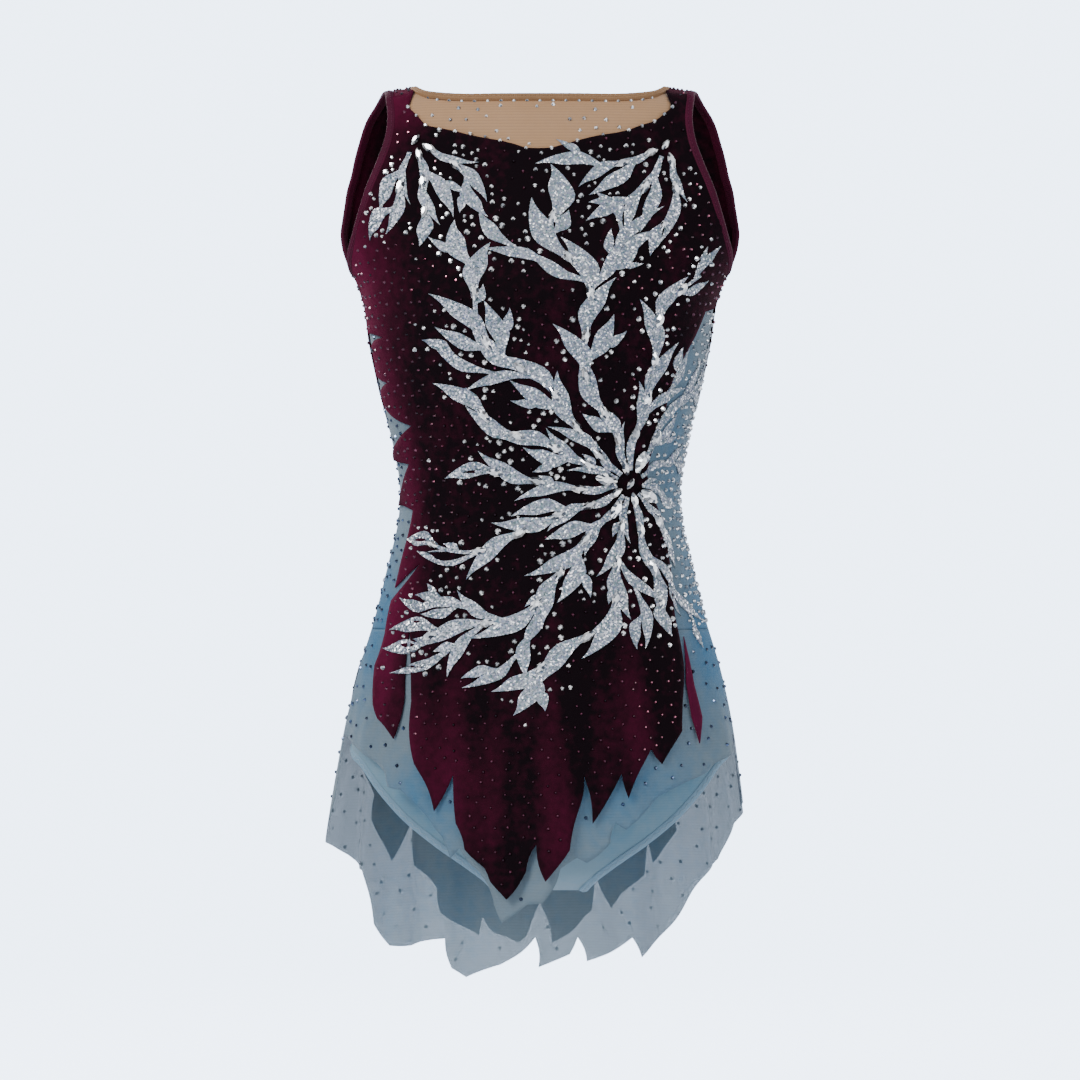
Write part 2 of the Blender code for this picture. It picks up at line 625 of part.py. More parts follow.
back_outline = (
    arm_b[::-1] + back_places(BACK_LEFT) + back_places(BACK_HEM) + back_places(BACK_RIGHT)
    + other_half(arm_b) + other_half(neck_b[:4]) + back_places(BACK_TOP_RIGHT) + back_places(BACK_TOP_LEFT)
    + neck_b[3::-1]
)
panel("back_velvet", VELVET, SKIRT, back_outline, velvet_base, VELVET_WALL)

yoke_top = neck_f[:-2]
panel(
    "front_yoke", NUDE_NET, TORSO,
    yoke_top + front_places(YOKE_LOW[::-1]) + mirrored(yoke_top[:0:-1]), 0.0, NET_WALL,
)
panel(
    "back_inset", NUDE_NET, TORSO,
    neck_b[3:] + other_half(neck_b[-2:2:-1]) + back_places(INSET), 0.0, NET_WALL,
)
panel(
    "side_panel_left", BLUE_NET, SKIRT,
    front_places(SIDE_LEFT_FRONT) + back_places(SIDE_LEFT_BACK), 0.0, NET_WALL,
)
panel(
    "side_panel_right", BLUE_NET, SKIRT,
    front_places(SIDE_RIGHT_FRONT) + back_places(SIDE_RIGHT_BACK, -360.0), 0.0, NET_WALL,
)

hip_v, hem_v = SKIRT.v_of(HIP_SEAM) + 0.4, SKIRT.v_of(NET_SIDE_FRONT)
panel(
    "net_skirt_front", BLUE_NET, SKIRT,
    [(-FRONT_SIDE, hip_v), (-FRONT_SIDE, hem_v)] + front_places(NET_HEM_FRONT)
    + [(FRONT_SIDE, hem_v), (FRONT_SIDE, hip_v)], 0.0, NET_WALL,
)
hem_v = SKIRT.v_of(NET_SIDE_BACK)
panel(
    "net_skirt_back", BLUE_NET, SKIRT,
    [(BACK_SIDE, hip_v), (BACK_SIDE, hem_v)] + back_places(NET_HEM_BACK)
    + [(360 - BACK_SIDE, hem_v), (360 - BACK_SIDE, hip_v)], 0.0, NET_WALL,
)
panel("hip_petal_dark", VELVET, SKIRT, back_places(HIP_DARK), velvet_base, VELVET_WALL)
panel("hip_petal_crimson", CRIMSON, SKIRT, back_places(HIP_CRIMSON), velvet_base, VELVET_WALL)
panel("hip_petal_front", CRIMSON, SKIRT, front_places(HIP_FRONT), velvet_base, VELVET_WALL)

brief_v = TORSO.v_of(BRIEF_TOP)
panel(
    "brief_front", BLUE_NET, BRIEF,
    [(FRONT_SIDE, brief_v)] + leg_f + mirrored(leg_f[::-1]) + [(-FRONT_SIDE, brief_v)],
    BRIEF_BASE, NET_WALL,
)
panel(
    "brief_back", BLUE_NET, BRIEF,
    [(BACK_SIDE, brief_v)] + leg_b[::-1] + other_half(leg_b) + [(360 - BACK_SIDE, brief_v)],
    BRIEF_BASE, NET_WALL,
)

binding("neck_binding", NUDE_BINDING, neck, BINDING_INNER, BINDING_OUTER)
binding("armhole_binding_left", WINE_BINDING, arm, BINDING_INNER, BINDING_OUTER)
binding("armhole_binding_right", WINE_BINDING, arm, BINDING_INNER, BINDING_OUTER, flip=True)
binding("leg_binding_left", BLUE_NET, leg, LEG_INNER, LEG_OUTER)
binding("leg_binding_right", BLUE_NET, leg, LEG_INNER, LEG_OUTER, flip=True)

for spray_name, layout in SPRAYS.items():
    spray(spray_name, *layout)
for number, row in enumerate(STONES, 1):
    stone(f"set_stone_{number}", *row)
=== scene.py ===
"""Looks of a sleeveless gymnastics leotard: velvet, net, bindings, glitter leaves and crystals.

Tables are in millimetres and degrees, meshes in metres. Angle 0 is the front centre, 90 the
wearer's left side, 180 the back centre; v is the length down the cloth from the shoulder seam.
"""
import logging
import math
import random
from collections.abc import Callable, Sequence
from dataclasses import dataclass, field
from enum import Enum

import bmesh
import bpy
import numpy as np
from mathutils import Matrix, Vector
from mathutils.geometry import delaunay_2d_cdt


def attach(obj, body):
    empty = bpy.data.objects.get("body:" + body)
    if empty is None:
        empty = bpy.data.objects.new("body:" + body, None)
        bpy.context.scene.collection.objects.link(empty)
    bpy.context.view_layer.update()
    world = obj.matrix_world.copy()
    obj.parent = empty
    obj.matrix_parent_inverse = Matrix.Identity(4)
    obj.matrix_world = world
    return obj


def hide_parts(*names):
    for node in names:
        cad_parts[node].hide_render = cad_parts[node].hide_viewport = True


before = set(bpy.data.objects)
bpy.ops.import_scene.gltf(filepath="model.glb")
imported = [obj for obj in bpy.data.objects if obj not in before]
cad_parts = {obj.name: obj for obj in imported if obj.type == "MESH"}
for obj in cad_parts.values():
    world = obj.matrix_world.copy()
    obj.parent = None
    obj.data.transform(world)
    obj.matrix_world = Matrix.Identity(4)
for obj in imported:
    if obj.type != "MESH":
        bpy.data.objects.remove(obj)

logging.basicConfig(level=logging.INFO, format="%(relativeCreated)6d ms %(message)s")
LOG = logging.getLogger("leotard")
Array = np.ndarray
Material = bpy.types.Material
Tree = bpy.types.NodeTree
Socket = bpy.types.NodeSocket
Place = tuple[float, float]
Triple = tuple[float, float, float]
Colour = tuple[float, float, float]
Row = Sequence[float]
Reading = Callable[[Array, Array], Array]

MM = 0.001
TINY = 1e-6
SECTION_POWER = 2.2
SHOULDER_FALL, NECK_ROOT, FALL_END = 0.003, 85.0, 140.0
FLAT_MM_PER_DEGREE = 2.4  # in a panel's mesh
CHART_SCALE = 2.0  # mm per degree, where places are tested against outlines
TURNS = (-720.0, 0.0, 720.0)  # a whole turn of the chart to either side
CHART_DEGREES, CHART_ROW = 1.5, 3.0  # steps of the chart of cloth under the leaves
FRONT_SIDE, BACK_SIDE, OTHER_SIDE = 89.97, 90.03, 269.97  # side edges of the front and back panels
BACK_CENTRE = 180.0
END_ROOM = 0.25
ROW_SHARE = 0.866  # from row to row of a triangular grid, as a share of its pitch
VELVET_WALL, NET_WALL, NET_LIFT, NET_FACE, BRIEF_LIFT = 1.1, 0.4, 0.2, 0.62, -1.5
KNIT_RIBS, ELASTIC_RIBS = 420, 700  # per metre
PUCKER, OUTER_CORNERS = 0.12, range(8, 12)
ZIGZAG_REACH, THREAD_RADIUS = 1.1, 0.00022
HUB_SIZE = 11.0  # the middle stone's length, and where the rays' stems start
BLADE_CUT, BLADE_WALL = 9, 0.75
FACET_TURN = 2.39996
NUMBER, VECTOR = "NodeSocketFloat", "NodeSocketVector"
VELVETS = ("front_velvet", "back_velvet")
WAIST_SPRAYS = ("applique_front", "applique_back")

# the worn form: v, height, half width, depth in front and behind
BODY_ROWS = (
    (0, 0, 140, 0, 0), (22, -2, 143, 22, 20), (40, -5, 146, 40, 34), (55, -10, 150, 54, 46),
    (68, -20, 157, 62, 57), (94, -45, 172, 68, 68), (122, -71, 176, 76, 78), (152, -100, 168, 86, 86),
    (174, -122, 160, 95, 89), (189, -137, 152, 102, 90), (202, -150, 145, 107, 91),
    (219, -167, 139, 112, 90), (252, -200, 134, 106, 84), (292, -240, 126, 95, 75),
    (332, -280, 117, 86, 70), (369, -317, 111, 80, 68), (392, -340, 112, 82, 73),
    (432, -380, 121, 87, 88), (472, -420, 131, 92, 101), (512, -460, 143, 95, 112),
)
BRIEF_ROWS = (
    (552, -500, 150, 96, 112), (591, -538, 151, 86, 104), (636, -579, 150, 70, 86),
    (661, -601, 148, 57, 70), (690, -623, 145, 38, 46), (711, -632, 143, 20, 25), (732, -638, 140, 0, 0),
)
SKIRT_ROWS = (
    (552, -500, 152, 101, 121), (592, -540, 158, 105, 127), (652, -600, 165, 110, 133),
    (712, -660, 169, 114, 138), (790, -738, 173, 117, 143),
)
# folds of the hanging skirt: waves round, phase, reach in mm
WAVES = ((7, 20, 4.2), (11, 75, 3.2), (4, 140, 2.2), (17, 40, 2.3), (29, 10, 1.3))
WAVE_START, WAVE_FULL = 500.0, 200.0
# soft pulls in the stretched cloth: angle, v, lean in degrees, length, width, depth in mm
PULLS = (
    (62, 165, 40, 70, 9, 0.9), (-64, 172, -38, 64, 10, 0.8), (70, 205, 60, 46, 8, 0.7),
    (-72, 210, -62, 52, 9, 0.8), (38, 372, 74, 60, 9, 0.7), (-30, 388, -70, 74, 11, 0.8),
    (8, 432, 12, 84, 12, 0.8), (-48, 452, -16, 92, 10, 1.0), (56, 446, 14, 78, 11, 0.9),
    (118, 186, -52, 60, 10, 0.8), (242, 190, 50, 66, 9, 0.9), (150, 392, -64, 76, 11, 0.8),
    (208, 384, 66, 70, 10, 0.9), (186, 446, 8, 88, 13, 0.9), (226, 450, -18, 80, 11, 1.0),
    (134, 454, 20, 84, 10, 0.8), (-14, 205, -80, 80, 12, 0.5), (20, 240, 78, 70, 11, 0.5),
)

NECK_FRONT = ((94, -4), (85, -8), (60, -10), (30, -10), (0, -10))
NECK_BACK = ((102, -8), (107, -20), (110, -37), (106, -60), (83, -77), (58, -87), (28, -93), (0, -95))
ARM_FRONT = (
    (121, -10), (119, -25), (121, -42), (127, -60), (135, -80), (142, -102), (147, -119), (150, -130),
)
ARM_BACK = ((131, -8), (139, -20), (145, -37), (151, -62), (156, -90), (158, -112))
ARMPIT, RIDGE_NECK, RIDGE_ARM = -141.0, 97.0, 125.0
LEG_TOP, RIDGE_LEG = -527.0, 38.0
LEG_FRONT = ((142, -537), (128, -556), (108, -578), (84, -598), (62, -614), (46, -627))
LEG_BACK = ((146, -537), (134, -555), (114, -578), (90, -600), (66, -617), (50, -628))
TORSO_END, SKIRT_END = 732.0, 790.0
BINDING_WIDTH = 6.6
TUCK = 3.2  # from a free edge to the raw edge of the panel inside its binding

FRONT_RIGHT = (
    (-139, -168), (-134, -194), (-121, -199), (-131, -204), (-127, -228), (-118, -234), (-124, -240),
    (-121, -252), (-99, -268), (-115, -294), (-101, -298), (-110, -331), (-98, -335), (-112, -396),
    (-92, -376), (-115, -406), (-120, -432), (-128, -457), (-129, -487), (-126, -498),
)
FRONT_HEM = (
    (-112, -513), (-104, -482), (-100, -424), (-98, -484), (-94, -532), (-81, -568), (-66, -539),
    (-64, -577), (-58, -597), (-43, -611), (-38, -621), (-25, -635), (-9, -614), (-1, -592), (5, -621),
    (20, -597), (29, -565), (33, -539), (40, -577), (63, -539), (68, -558), (86, -520), (95, -532),
)
FRONT_LEFT = (
    (109, -507), (110, -482), (107, -432), (102, -387), (94, -342), (82, -307), (90, -277), (99, -242),
    (109, -217), (128, -178), (139, -168),
)
FRONT_TOP = (
    (103, -19), (89, -31), (69, -38), (49, -42), (29, -47), (9, -53), (-11, -53), (-31, -47), (-66, -39),
    (-89, -34), (-103, -19),
)
BACK_LEFT = (
    (-126, -238), (-111, -262), (-100, -292), (-88, -317), (-73, -337), (-86, -367), (-93, -392),
    (-92, -419), (-105, -467), (-114, -502), (-118, -537), (-111, -577), (-112, -597),
)
BACK_HEM = (
    (-89, -624), (-85, -607), (-82, -635), (-68, -648), (-53, -664), (-42, -637), (-40, -667),
    (-30, -680), (-13, -693), (-4, -659), (6, -680), (22, -693), (38, -684), (47, -670), (50, -686),
    (82, -667), (85, -647), (99, -627), (100, -587), (118, -622), (133, -587), (131, -567), (142, -542),
)
BACK_RIGHT = (
    (149, -505), (142, -460), (130, -422), (123, -400), (114, -407), (109, -388), (107, -414),
    (101, -402), (96, -387), (94, -347), (103, -320), (87, -345), (74, -367), (82, -337), (95, -307),
    (116, -277), (134, -200),
)
BACK_TOP_RIGHT = (
    (119, -34), (121, -50), (117, -70), (110, -87), (103, -110), (91, -132), (78, -142), (58, -152),
    (34, -162), (17, -175), (34, -172), (64, -169), (94, -168), (79, -177), (49, -202), (30, -222),
    (8, -252), (35, -240), (70, -225), (50, -252), (31, -272), (16, -287), (7, -307),
)
BACK_TOP_LEFT = (
    (-11, -307), (-14, -292), (-24, -267), (-35, -247), (-50, -217), (-71, -187), (-86, -172),
    (-104, -155), (-76, -157), (-46, -167), (-16, -177), (2, -181), (-16, -171), (-46, -157),
    (-70, -142), (-90, -122), (-100, -102), (-110, -87), (-117, -70), (-121, -50), (-119, -34),
)
INSET = (
    (121, -33), (118, -95), (106, -140), (99, -176), (84, -232), (60, -260), (26, -294), (16, -316),
    (-20, -316), (-24, -296), (-44, -252), (-62, -220), (-98, -184), (-114, -156), (-118, -95), (-124, -33),
)
YOKE_LOW = (
    (-106, -24), (-97, -32), (-89, -41), (-66, -47), (-31, -55), (-11, -61), (9, -61), (29, -55), (49, -50),
    (69, -46), (89, -40), (97, -32), (106, -24),
)
SIDE_LEFT_FRONT = (
    (131, -158), (124, -170), (100, -217), (90, -242), (81, -277), (72, -307), (85, -345), (93, -389),
    (97, -428),
)
SIDE_LEFT_BACK = (
    (-82, -428), (-82, -392), (-76, -367), (-62, -338), (-78, -312), (-91, -285), (-102, -256),
    (-124, -222), (-137, -170),
)
SIDE_RIGHT_FRONT = (
    (-118, -186), (-110, -228), (-88, -264), (-88, -300), (-87, -340), (-81, -372), (-100, -428),
)
SIDE_RIGHT_BACK = ((86, -428), (86, -347), (64, -370), (73, -332), (87, -300), (104, -268), (124, -195))
NET_HEM_FRONT = (
    (-140, -524), (-122, -539), (-119, -550), (-107, -552), (-85, -574), (-76, -587), (-69, -604),
    (-62, -596), (-48, -614), (-36, -640), (-30, -653), (-10, -639), (2, -637), (15, -611), (28, -603),
    (36, -607), (55, -592), (59, -577), (67, -582), (94, -557), (124, -543), (136, -533),
)
NET_HEM_BACK = (
    (-164, -567), (-155, -587), (-148, -617), (-141, -622), (-122, -655), (-100, -687), (-83, -703),
    (-75, -687), (-37, -708), (-30, -688), (-24, -702), (1, -712), (4, -687), (33, -710), (61, -720),
    (74, -712), (80, -687), (105, -692), (123, -691), (135, -672), (144, -627), (158, -612), (164, -600),
)
NET_SIDE_FRONT, NET_SIDE_BACK = -509.0, -560.0
HIP_DARK = (
    (-98, -395), (-103, -417), (-110, -447), (-119, -487), (-127, -520), (-131, -530), (-133, -512),
    (-129, -487), (-121, -457), (-113, -427), (-106, -400),
)
HIP_CRIMSON = (
    (-110, -392), (-116, -417), (-124, -442), (-133, -477), (-139, -492), (-139, -467), (-131, -437),
    (-121, -402),
)
HIP_FRONT = ((111, -434), (119, -472), (125, -497), (123, -517), (117, -496), (113, -470))
HIP_SEAM, BRIEF_TOP = -428.0, -418.0
SIDE_MEET = -166.0  # down to here front and back velvet meet at the side

# pools of painted crimson sheen, where light grazes the nap: angle, v, reach in degrees, reach in mm,
# strength
PAINTED_SHEEN_POOLS = (
    (-64, 130, 15, 90, 0.95), (-78, 250, 14, 100, 0.85), (-62, 380, 10, 90, 0.55), (-62, 490, 16, 80, 0.9),
    (-40, 590, 11, 70, 0.8), (-16, 620, 6, 60, 0.55), (8, 640, 5, 50, 0.45), (24, 560, 7, 60, 0.4),
    (72, 120, 8, 60, 0.55), (-44, 60, 14, 36, 0.7), (78, 520, 8, 50, 0.5), (152, 660, 8, 80, 0.95),
    (166, 590, 7, 70, 0.6), (178, 700, 5, 50, 0.4), (214, 700, 8, 60, 0.6), (231, 545, 8, 80, 0.95),
    (120, 110, 8, 60, 0.5), (238, 120, 8, 60, 0.6), (222, 420, 8, 70, 0.5), (128, 330, 8, 90, 0.4),
    (140, 520, 7, 60, 0.7),
)
# pools of strong blue in the dyed net
DYE_POOLS = (
    (74, 500, 20, 50, 1.0), (-76, 470, 20, 60, 0.95), (62, 170, 20, 40, 0.3), (88, 400, 20, 60, 0.7),
    (-100, 400, 18, 70, 0.8), (60, 330, 14, 60, 0.35), (128, 500, 14, 70, 0.55), (232, 470, 16, 70, 0.85),
    (20, 600, 30, 36, 0.5), (-34, 610, 26, 40, 0.4), (160, 640, 20, 60, 0.35), (214, 700, 18, 40, 0.3),
)

# leaf sprays: hub angle, hub z, then rays of bearing (0 up, 90 the wearer's left) and length
SPRAYS = {
    "applique_front": (37.0, -314.0, (
        (-2, 205), (-25, 245), (-47, 215), (-70, 150), (-97, 125), (-121, 170), (-146, 205), (-170, 175),
        (163, 105), (135, 62), (98, 46), (60, 62), (27, 125))),
    "applique_back": (140.0, -340.0, (
        (-8, 112), (24, 92), (55, 118), (84, 112), (110, 150), (133, 205), (152, 216), (168, 158),
        (-166, 82), (-140, 54), (-104, 42), (-68, 42), (-36, 66))),
    "applique_shoulder_left": (33.0, -50.0, ((-162, 64), (166, 76), (-125, 58))),
    "applique_shoulder_right": (-33.0, -46.0, ((-168, 70), (162, 74), (122, 62))),
    "applique_back_right": (222.0, -66.0, ((-176, 84), (152, 104), (-142, 70))),
    "applique_back_left": (138.0, -58.0, ((-166, 58), (164, 62))),
}
RAY_BEND = 14.0
RIM_CLEAR = 8.0  # from a leaf's middle line to the garment's edge
STONES = (
    ("applique_front", 20, 19, 20), ("applique_front", -80, 20, 20), ("applique_front", -150, 24, 18),
    ("applique_front", 120, 20, 20), ("applique_back", -10, 22, 15), ("applique_back", -106, 15, 18),
    ("applique_back", 160, 23, 18), ("applique_back", 75, 21, 20),
)
# a flame leaf: share of its length, half width to the left and to the right
FLAME = (
    (0.0, 0.34, 0.34), (0.1, 0.34, 0.3), (0.2, 0.52, 0.38), (0.3, 0.8, 0.56), (0.4, 1.0, 0.8),
    (0.5, 0.98, 0.98), (0.6, 0.78, 1.0), (0.7, 0.54, 0.8), (0.8, 0.33, 0.5), (0.9, 0.15, 0.24),
    (1.0, 0.0, 0.0),
)


def hermite(
    t: Array | float, values: Array, slopes: Array, k: Array | int, step: Array | float = 1.0
) -> Array:
    """Smooth curve through a table's rows, at a share of the way from row k to the next."""
    return (
        (2 * t**3 - 3 * t**2 + 1) * values[k] + (t**3 - 2 * t**2 + t) * step * slopes[k]
        + (3 * t**2 - 2 * t**3) * values[k + 1] + (t**3 - t**2) * step * slopes[k + 1]
    )


def counted_from(degrees: Array, angle: float) -> Array:
    """Degrees counted from an angle, -180 to 180."""
    return (degrees - angle + 180) % 360 - 180


class Form:
    """The worn shape that every layer of cloth follows."""

    def __init__(self, rows: Sequence[Row], end: float, waves: bool = False) -> None:
        """Take the rows and get ready to read them at any v."""
        table = np.array(rows, float)
        self.at, self.values = table[:, 0], table[:, 1:]
        self.tangents = np.gradient(self.values, self.at, axis=0)
        self.end, self.waves = end, waves
        self.fine_v = np.linspace(0, end, 1200)
        self.fine_z = self.columns(self.fine_v)[:, 0]

    def columns(self, v: Array) -> Array:
        """Height, half width, front and back depth at each v."""
        k = np.clip(np.searchsorted(self.at, v) - 1, 0, len(self.at) - 2)
        step = (self.at[k + 1] - self.at[k])[:, None]
        return hermite((v - self.at[k])[:, None] / step, self.values, self.tangents, k, step)

    def smooth(self, degrees: Array, v: Array) -> Array:
        """Points of the form, mm, folds included."""
        angle = np.radians(degrees)
        across, along = np.sin(angle), np.cos(angle)
        length = (abs(across) ** SECTION_POWER + abs(along) ** SECTION_POWER) ** (-1 / SECTION_POWER)
        z, half, front, back = self.columns(v).T
        wave = np.ones_like(v)
        if self.waves:
            reach = np.clip((v - WAVE_START) / WAVE_FULL, 0, 1)
            for count, phase, size in WAVES:
                wave = wave + size * np.sin(np.radians(count * degrees + phase)) * reach / half
        x = half * length * across * wave
        y = -np.where(along > 0, front, back) * length * along * wave
        fall = SHOULDER_FALL * np.maximum(0, abs(x) - NECK_ROOT) ** 2 * np.maximum(0, 1 - v / FALL_END)
        return np.stack((x, y, z - fall), 1)

    def slopes(self, degrees: Array, v: Array) -> tuple[Array, Array]:
        """Change of the point per degree and per mm of v."""
        low, high = np.maximum(v - 1, 0), np.minimum(v + 1, self.end)
        by_angle = self.smooth(degrees + 0.5, v) - self.smooth(degrees - 0.5, v)
        by_angle[self.ends(v), 1] = 0
        return by_angle, (self.smooth(degrees, high) - self.smooth(degrees, low)) / (high - low)[:, None]

    def ends(self, v: Array) -> Array:
        """Which places lie on the form's first or last line."""
        return (v < TINY) | (v > self.end - TINY)

    def normals(self, degrees: Array, v: Array) -> Array:
        """Directions out of the form."""
        by_angle, by_v = self.slopes(degrees, v)
        out = np.cross(by_v, by_angle)
        out[self.ends(v), 1] = 0
        return out / np.maximum(np.linalg.norm(out, axis=1), 1e-9)[:, None]

    def lifted(self, degrees: Array, v: Array, lift: Array | float) -> Array:
        """Points a lift in mm off the form, dents of the stretched cloth included."""
        lift = np.broadcast_to(np.asarray(lift, float), v.shape)
        return self.smooth(degrees, v) + self.normals(degrees, v) * (lift - dents(degrees, v))[:, None]

    def v_of(self, z: float) -> float:
        """v at a height."""
        return float(np.interp(-z, -self.fine_z, self.fine_v))

    def front(self, x: float, z: float) -> Place:
        """Angle and v of a place seen from the front."""
        v = self.v_of(z)
        half = float(self.columns(np.array([v]))[0, 1])
        share = max(-0.99999, min(0.99999, x / half))
        along = (1 - abs(share) ** SECTION_POWER) ** (1 / SECTION_POWER)
        return math.degrees(math.atan2(share, along)), v

    def back(self, x: float, z: float) -> Place:
        """The same from behind, where x grows to the wearer's right."""
        angle, v = self.front(x, z)
        return 180 + angle, v

    def per_degree(self, place: Place) -> float:
        """Millimetres of cloth for a degree at a place."""
        return float(np.linalg.norm(self.slopes(np.array([place[0]]), np.array([place[1]]))[0]))


def dents(degrees: Array, v: Array) -> Array:
    """Depth of the soft pulls in the stretched cloth, mm, each trough with a ridge beside it."""
    depth = np.zeros_like(v)
    for angle, at, lean, length, width, size in PULLS:
        x = counted_from(degrees, angle) * CHART_SCALE
        y = v - at
        turned = math.radians(lean)
        along = x * math.sin(turned) + y * math.cos(turned)
        across = x * math.cos(turned) - y * math.sin(turned)
        shape = np.exp(-(along / (0.5 * length)) ** 2)
        ridge = 0.55 * np.exp(-((across - 1.5 * width) / width) ** 2)
        depth += size * shape * (np.exp(-(across / width) ** 2) - ridge)
    return depth


TORSO = Form(BODY_ROWS + BRIEF_ROWS, TORSO_END)
SKIRT = Form(BODY_ROWS + SKIRT_ROWS, SKIRT_END, waves=True)


def velvet_base(degrees: Array, v: Array) -> Array:
    """Lift of velvet's inner face: each petal hangs clear of the net, and not all alike."""
    hang = np.clip((v - 500) / 240, 0, 1.3)
    flutter = 1 + 0.5 * np.sin(np.radians(13 * degrees + 50)) * np.sin(np.radians(5 * degrees + 20))
    return 1.5 + 7.0 * hang**1.3 * flutter


def pools(degrees: Array, v: Array, table: Sequence[Row]) -> Array:
    """Soft overlapping pools of colour, 0 to 1."""
    out = np.zeros_like(v)
    for angle, at, wide, tall, strength in table:
        out += strength * np.exp(-(counted_from(degrees, angle) / wide) ** 2 - ((v - at) / tall) ** 2)
    return np.clip(out, 0, 1)


def velvet_painted_sheen(degrees: Array, v: Array) -> Array:
    """How strongly the painted crimson sheen shows: its pools, long painted highlight stripes down the petals
    and painted shade between them.
    """
    sheen_streak = np.sin(np.radians(19 * degrees + 30)) * np.sin(np.radians(7 * degrees + 80))
    fall = np.clip((v - 430) / 160, 0, 1)
    shaded_pools = pools(degrees, v, PAINTED_SHEEN_POOLS) * (1 - 0.45 * fall * (0.5 - 0.5 * sheen_streak))
    return np.clip(shaded_pools + 0.22 * fall * sheen_streak, 0, 1)


def dye_tone(degrees: Array, v: Array) -> Array:
    """How strongly the net is dyed blue."""
    return pools(degrees, v, DYE_POOLS)


def even_tone(degrees: Array, v: Array) -> Array:
    """One tone all over."""
    return np.full_like(v, 0.5)


def spread(points: Sequence[Place], step: float) -> list[Place]:
    """More points along a run of places, on a smooth curve through them."""
    table = np.array(points, float)
    slopes = np.gradient(table, np.arange(len(table), dtype=float), axis=0)
    out: list[Place] = []
    for k in range(len(table) - 1):
        gap = math.hypot((table[k + 1, 0] - table[k, 0]) * 2.2, table[k + 1, 1] - table[k, 1])
        count = max(1, round(gap / step))
        out += [tuple(hermite(n / count, table, slopes, k).tolist()) for n in range(count)]
    return out + [tuple(table[-1].tolist())]


def hand_cut(points: Sequence[Place], bow: float = 0.05, step: float = 5.0) -> list[Place]:
    """A cut edge through the places, each run bowed a little as scissors leave it."""
    out: list[Place] = []
    for k in range(len(points) - 1):
        (a0, v0), (a1, v1) = points[k], points[k + 1]
        run = math.hypot((a1 - a0) * 2, v1 - v0)
        count = max(1, int(run / step))
        sway = bow * math.sin(k * 2.4 + 0.7) * min(run, 40)
        for n in range(count):
            t = n / count
            side = sway * math.sin(math.pi * t) / max(run, TINY)
            out.append((a0 + (a1 - a0) * t + (v1 - v0) * side / 2, v0 + (v1 - v0) * t - (a1 - a0) * 2 * side))
    return out + [tuple(points[-1])]


def mirrored(places: Sequence[Place], centre: float = 0.0) -> list[Place]:
    """Places on the other side of the front or the back centre."""
    return [(2 * centre - a, v) for a, v in places]


def front_places(rows: Sequence[Row]) -> list[Place]:
    """Front-view rows as places."""
    return [SKIRT.front(*row) for row in rows]


def back_places(rows: Sequence[Row], turned: float = 0.0) -> list[Place]:
    """Back-view rows as places."""
    return [(a + turned, v) for a, v in (SKIRT.back(*row) for row in rows)]


def charted(outline: Sequence[Place]) -> Array:
    """An outline laid flat, in mm."""
    return np.array([(a * CHART_SCALE, v) for a, v in outline])


@dataclass
class Edge:
    """A closed free edge of the garment, with the directions that its binding needs."""

    places: list[Place]
    points: Array = field(init=False)
    normals: Array = field(init=False)
    side: Array = field(init=False)

    def __post_init__(self) -> None:
        """Work out points, outward directions and the direction into the panel."""
        degrees, v = np.array(self.places, float).T
        self.normals = TORSO.normals(degrees, v)
        self.points = TORSO.lifted(degrees, v, 0.0)
        side = np.cross(np.roll(self.points, -1, 0) - np.roll(self.points, 1, 0), self.normals)
        self.side = side / np.linalg.norm(side, axis=1)[:, None]

    def moved(self, distance: float) -> list[Place]:
        """Places a distance in mm into the panel, held just inside the form's two ends."""
        by_angle, by_v = TORSO.slopes(*np.array(self.places, float).T)
        out: list[Place] = []
        for k, (a, v) in enumerate(self.places):
            basis = np.array((by_angle[k], by_v[k]))
            turn, down = np.linalg.solve(basis @ basis.T, basis @ (self.side[k] * distance))
            out.append((float(a + turn), min(max(float(v + down), END_ROOM), TORSO_END - END_ROOM)))
        return out

    def refine(self, step: float) -> None:
        """Make the closed run finer in space, on a smooth curve through its stations."""
        gaps = np.linalg.norm(np.roll(self.points, -1, 0) - self.points, axis=1)
        parts = np.maximum(1, np.round(gaps / step)).astype(int)
        at = np.concatenate([k + np.arange(n) / n for k, n in enumerate(parts)])
        k, t = at.astype(int), (at % 1)[:, None]
        count = len(self.points)

        def curve(values: Array) -> Array:
            before, here, after, beyond = (values[(k + n) % count] for n in (-1, 0, 1, 2))
            return 0.5 * (
                2 * here + (after - before) * t + (2 * before - 5 * here + 4 * after - beyond) * t**2
                + (3 * here - before - 3 * after + beyond) * t**3
            )

        self.points, self.normals, self.side = curve(self.points), curve(self.normals), curve(self.side)
        self.normals /= np.linalg.norm(self.normals, axis=1)[:, None]
        self.side /= np.linalg.norm(self.side, axis=1)[:, None]


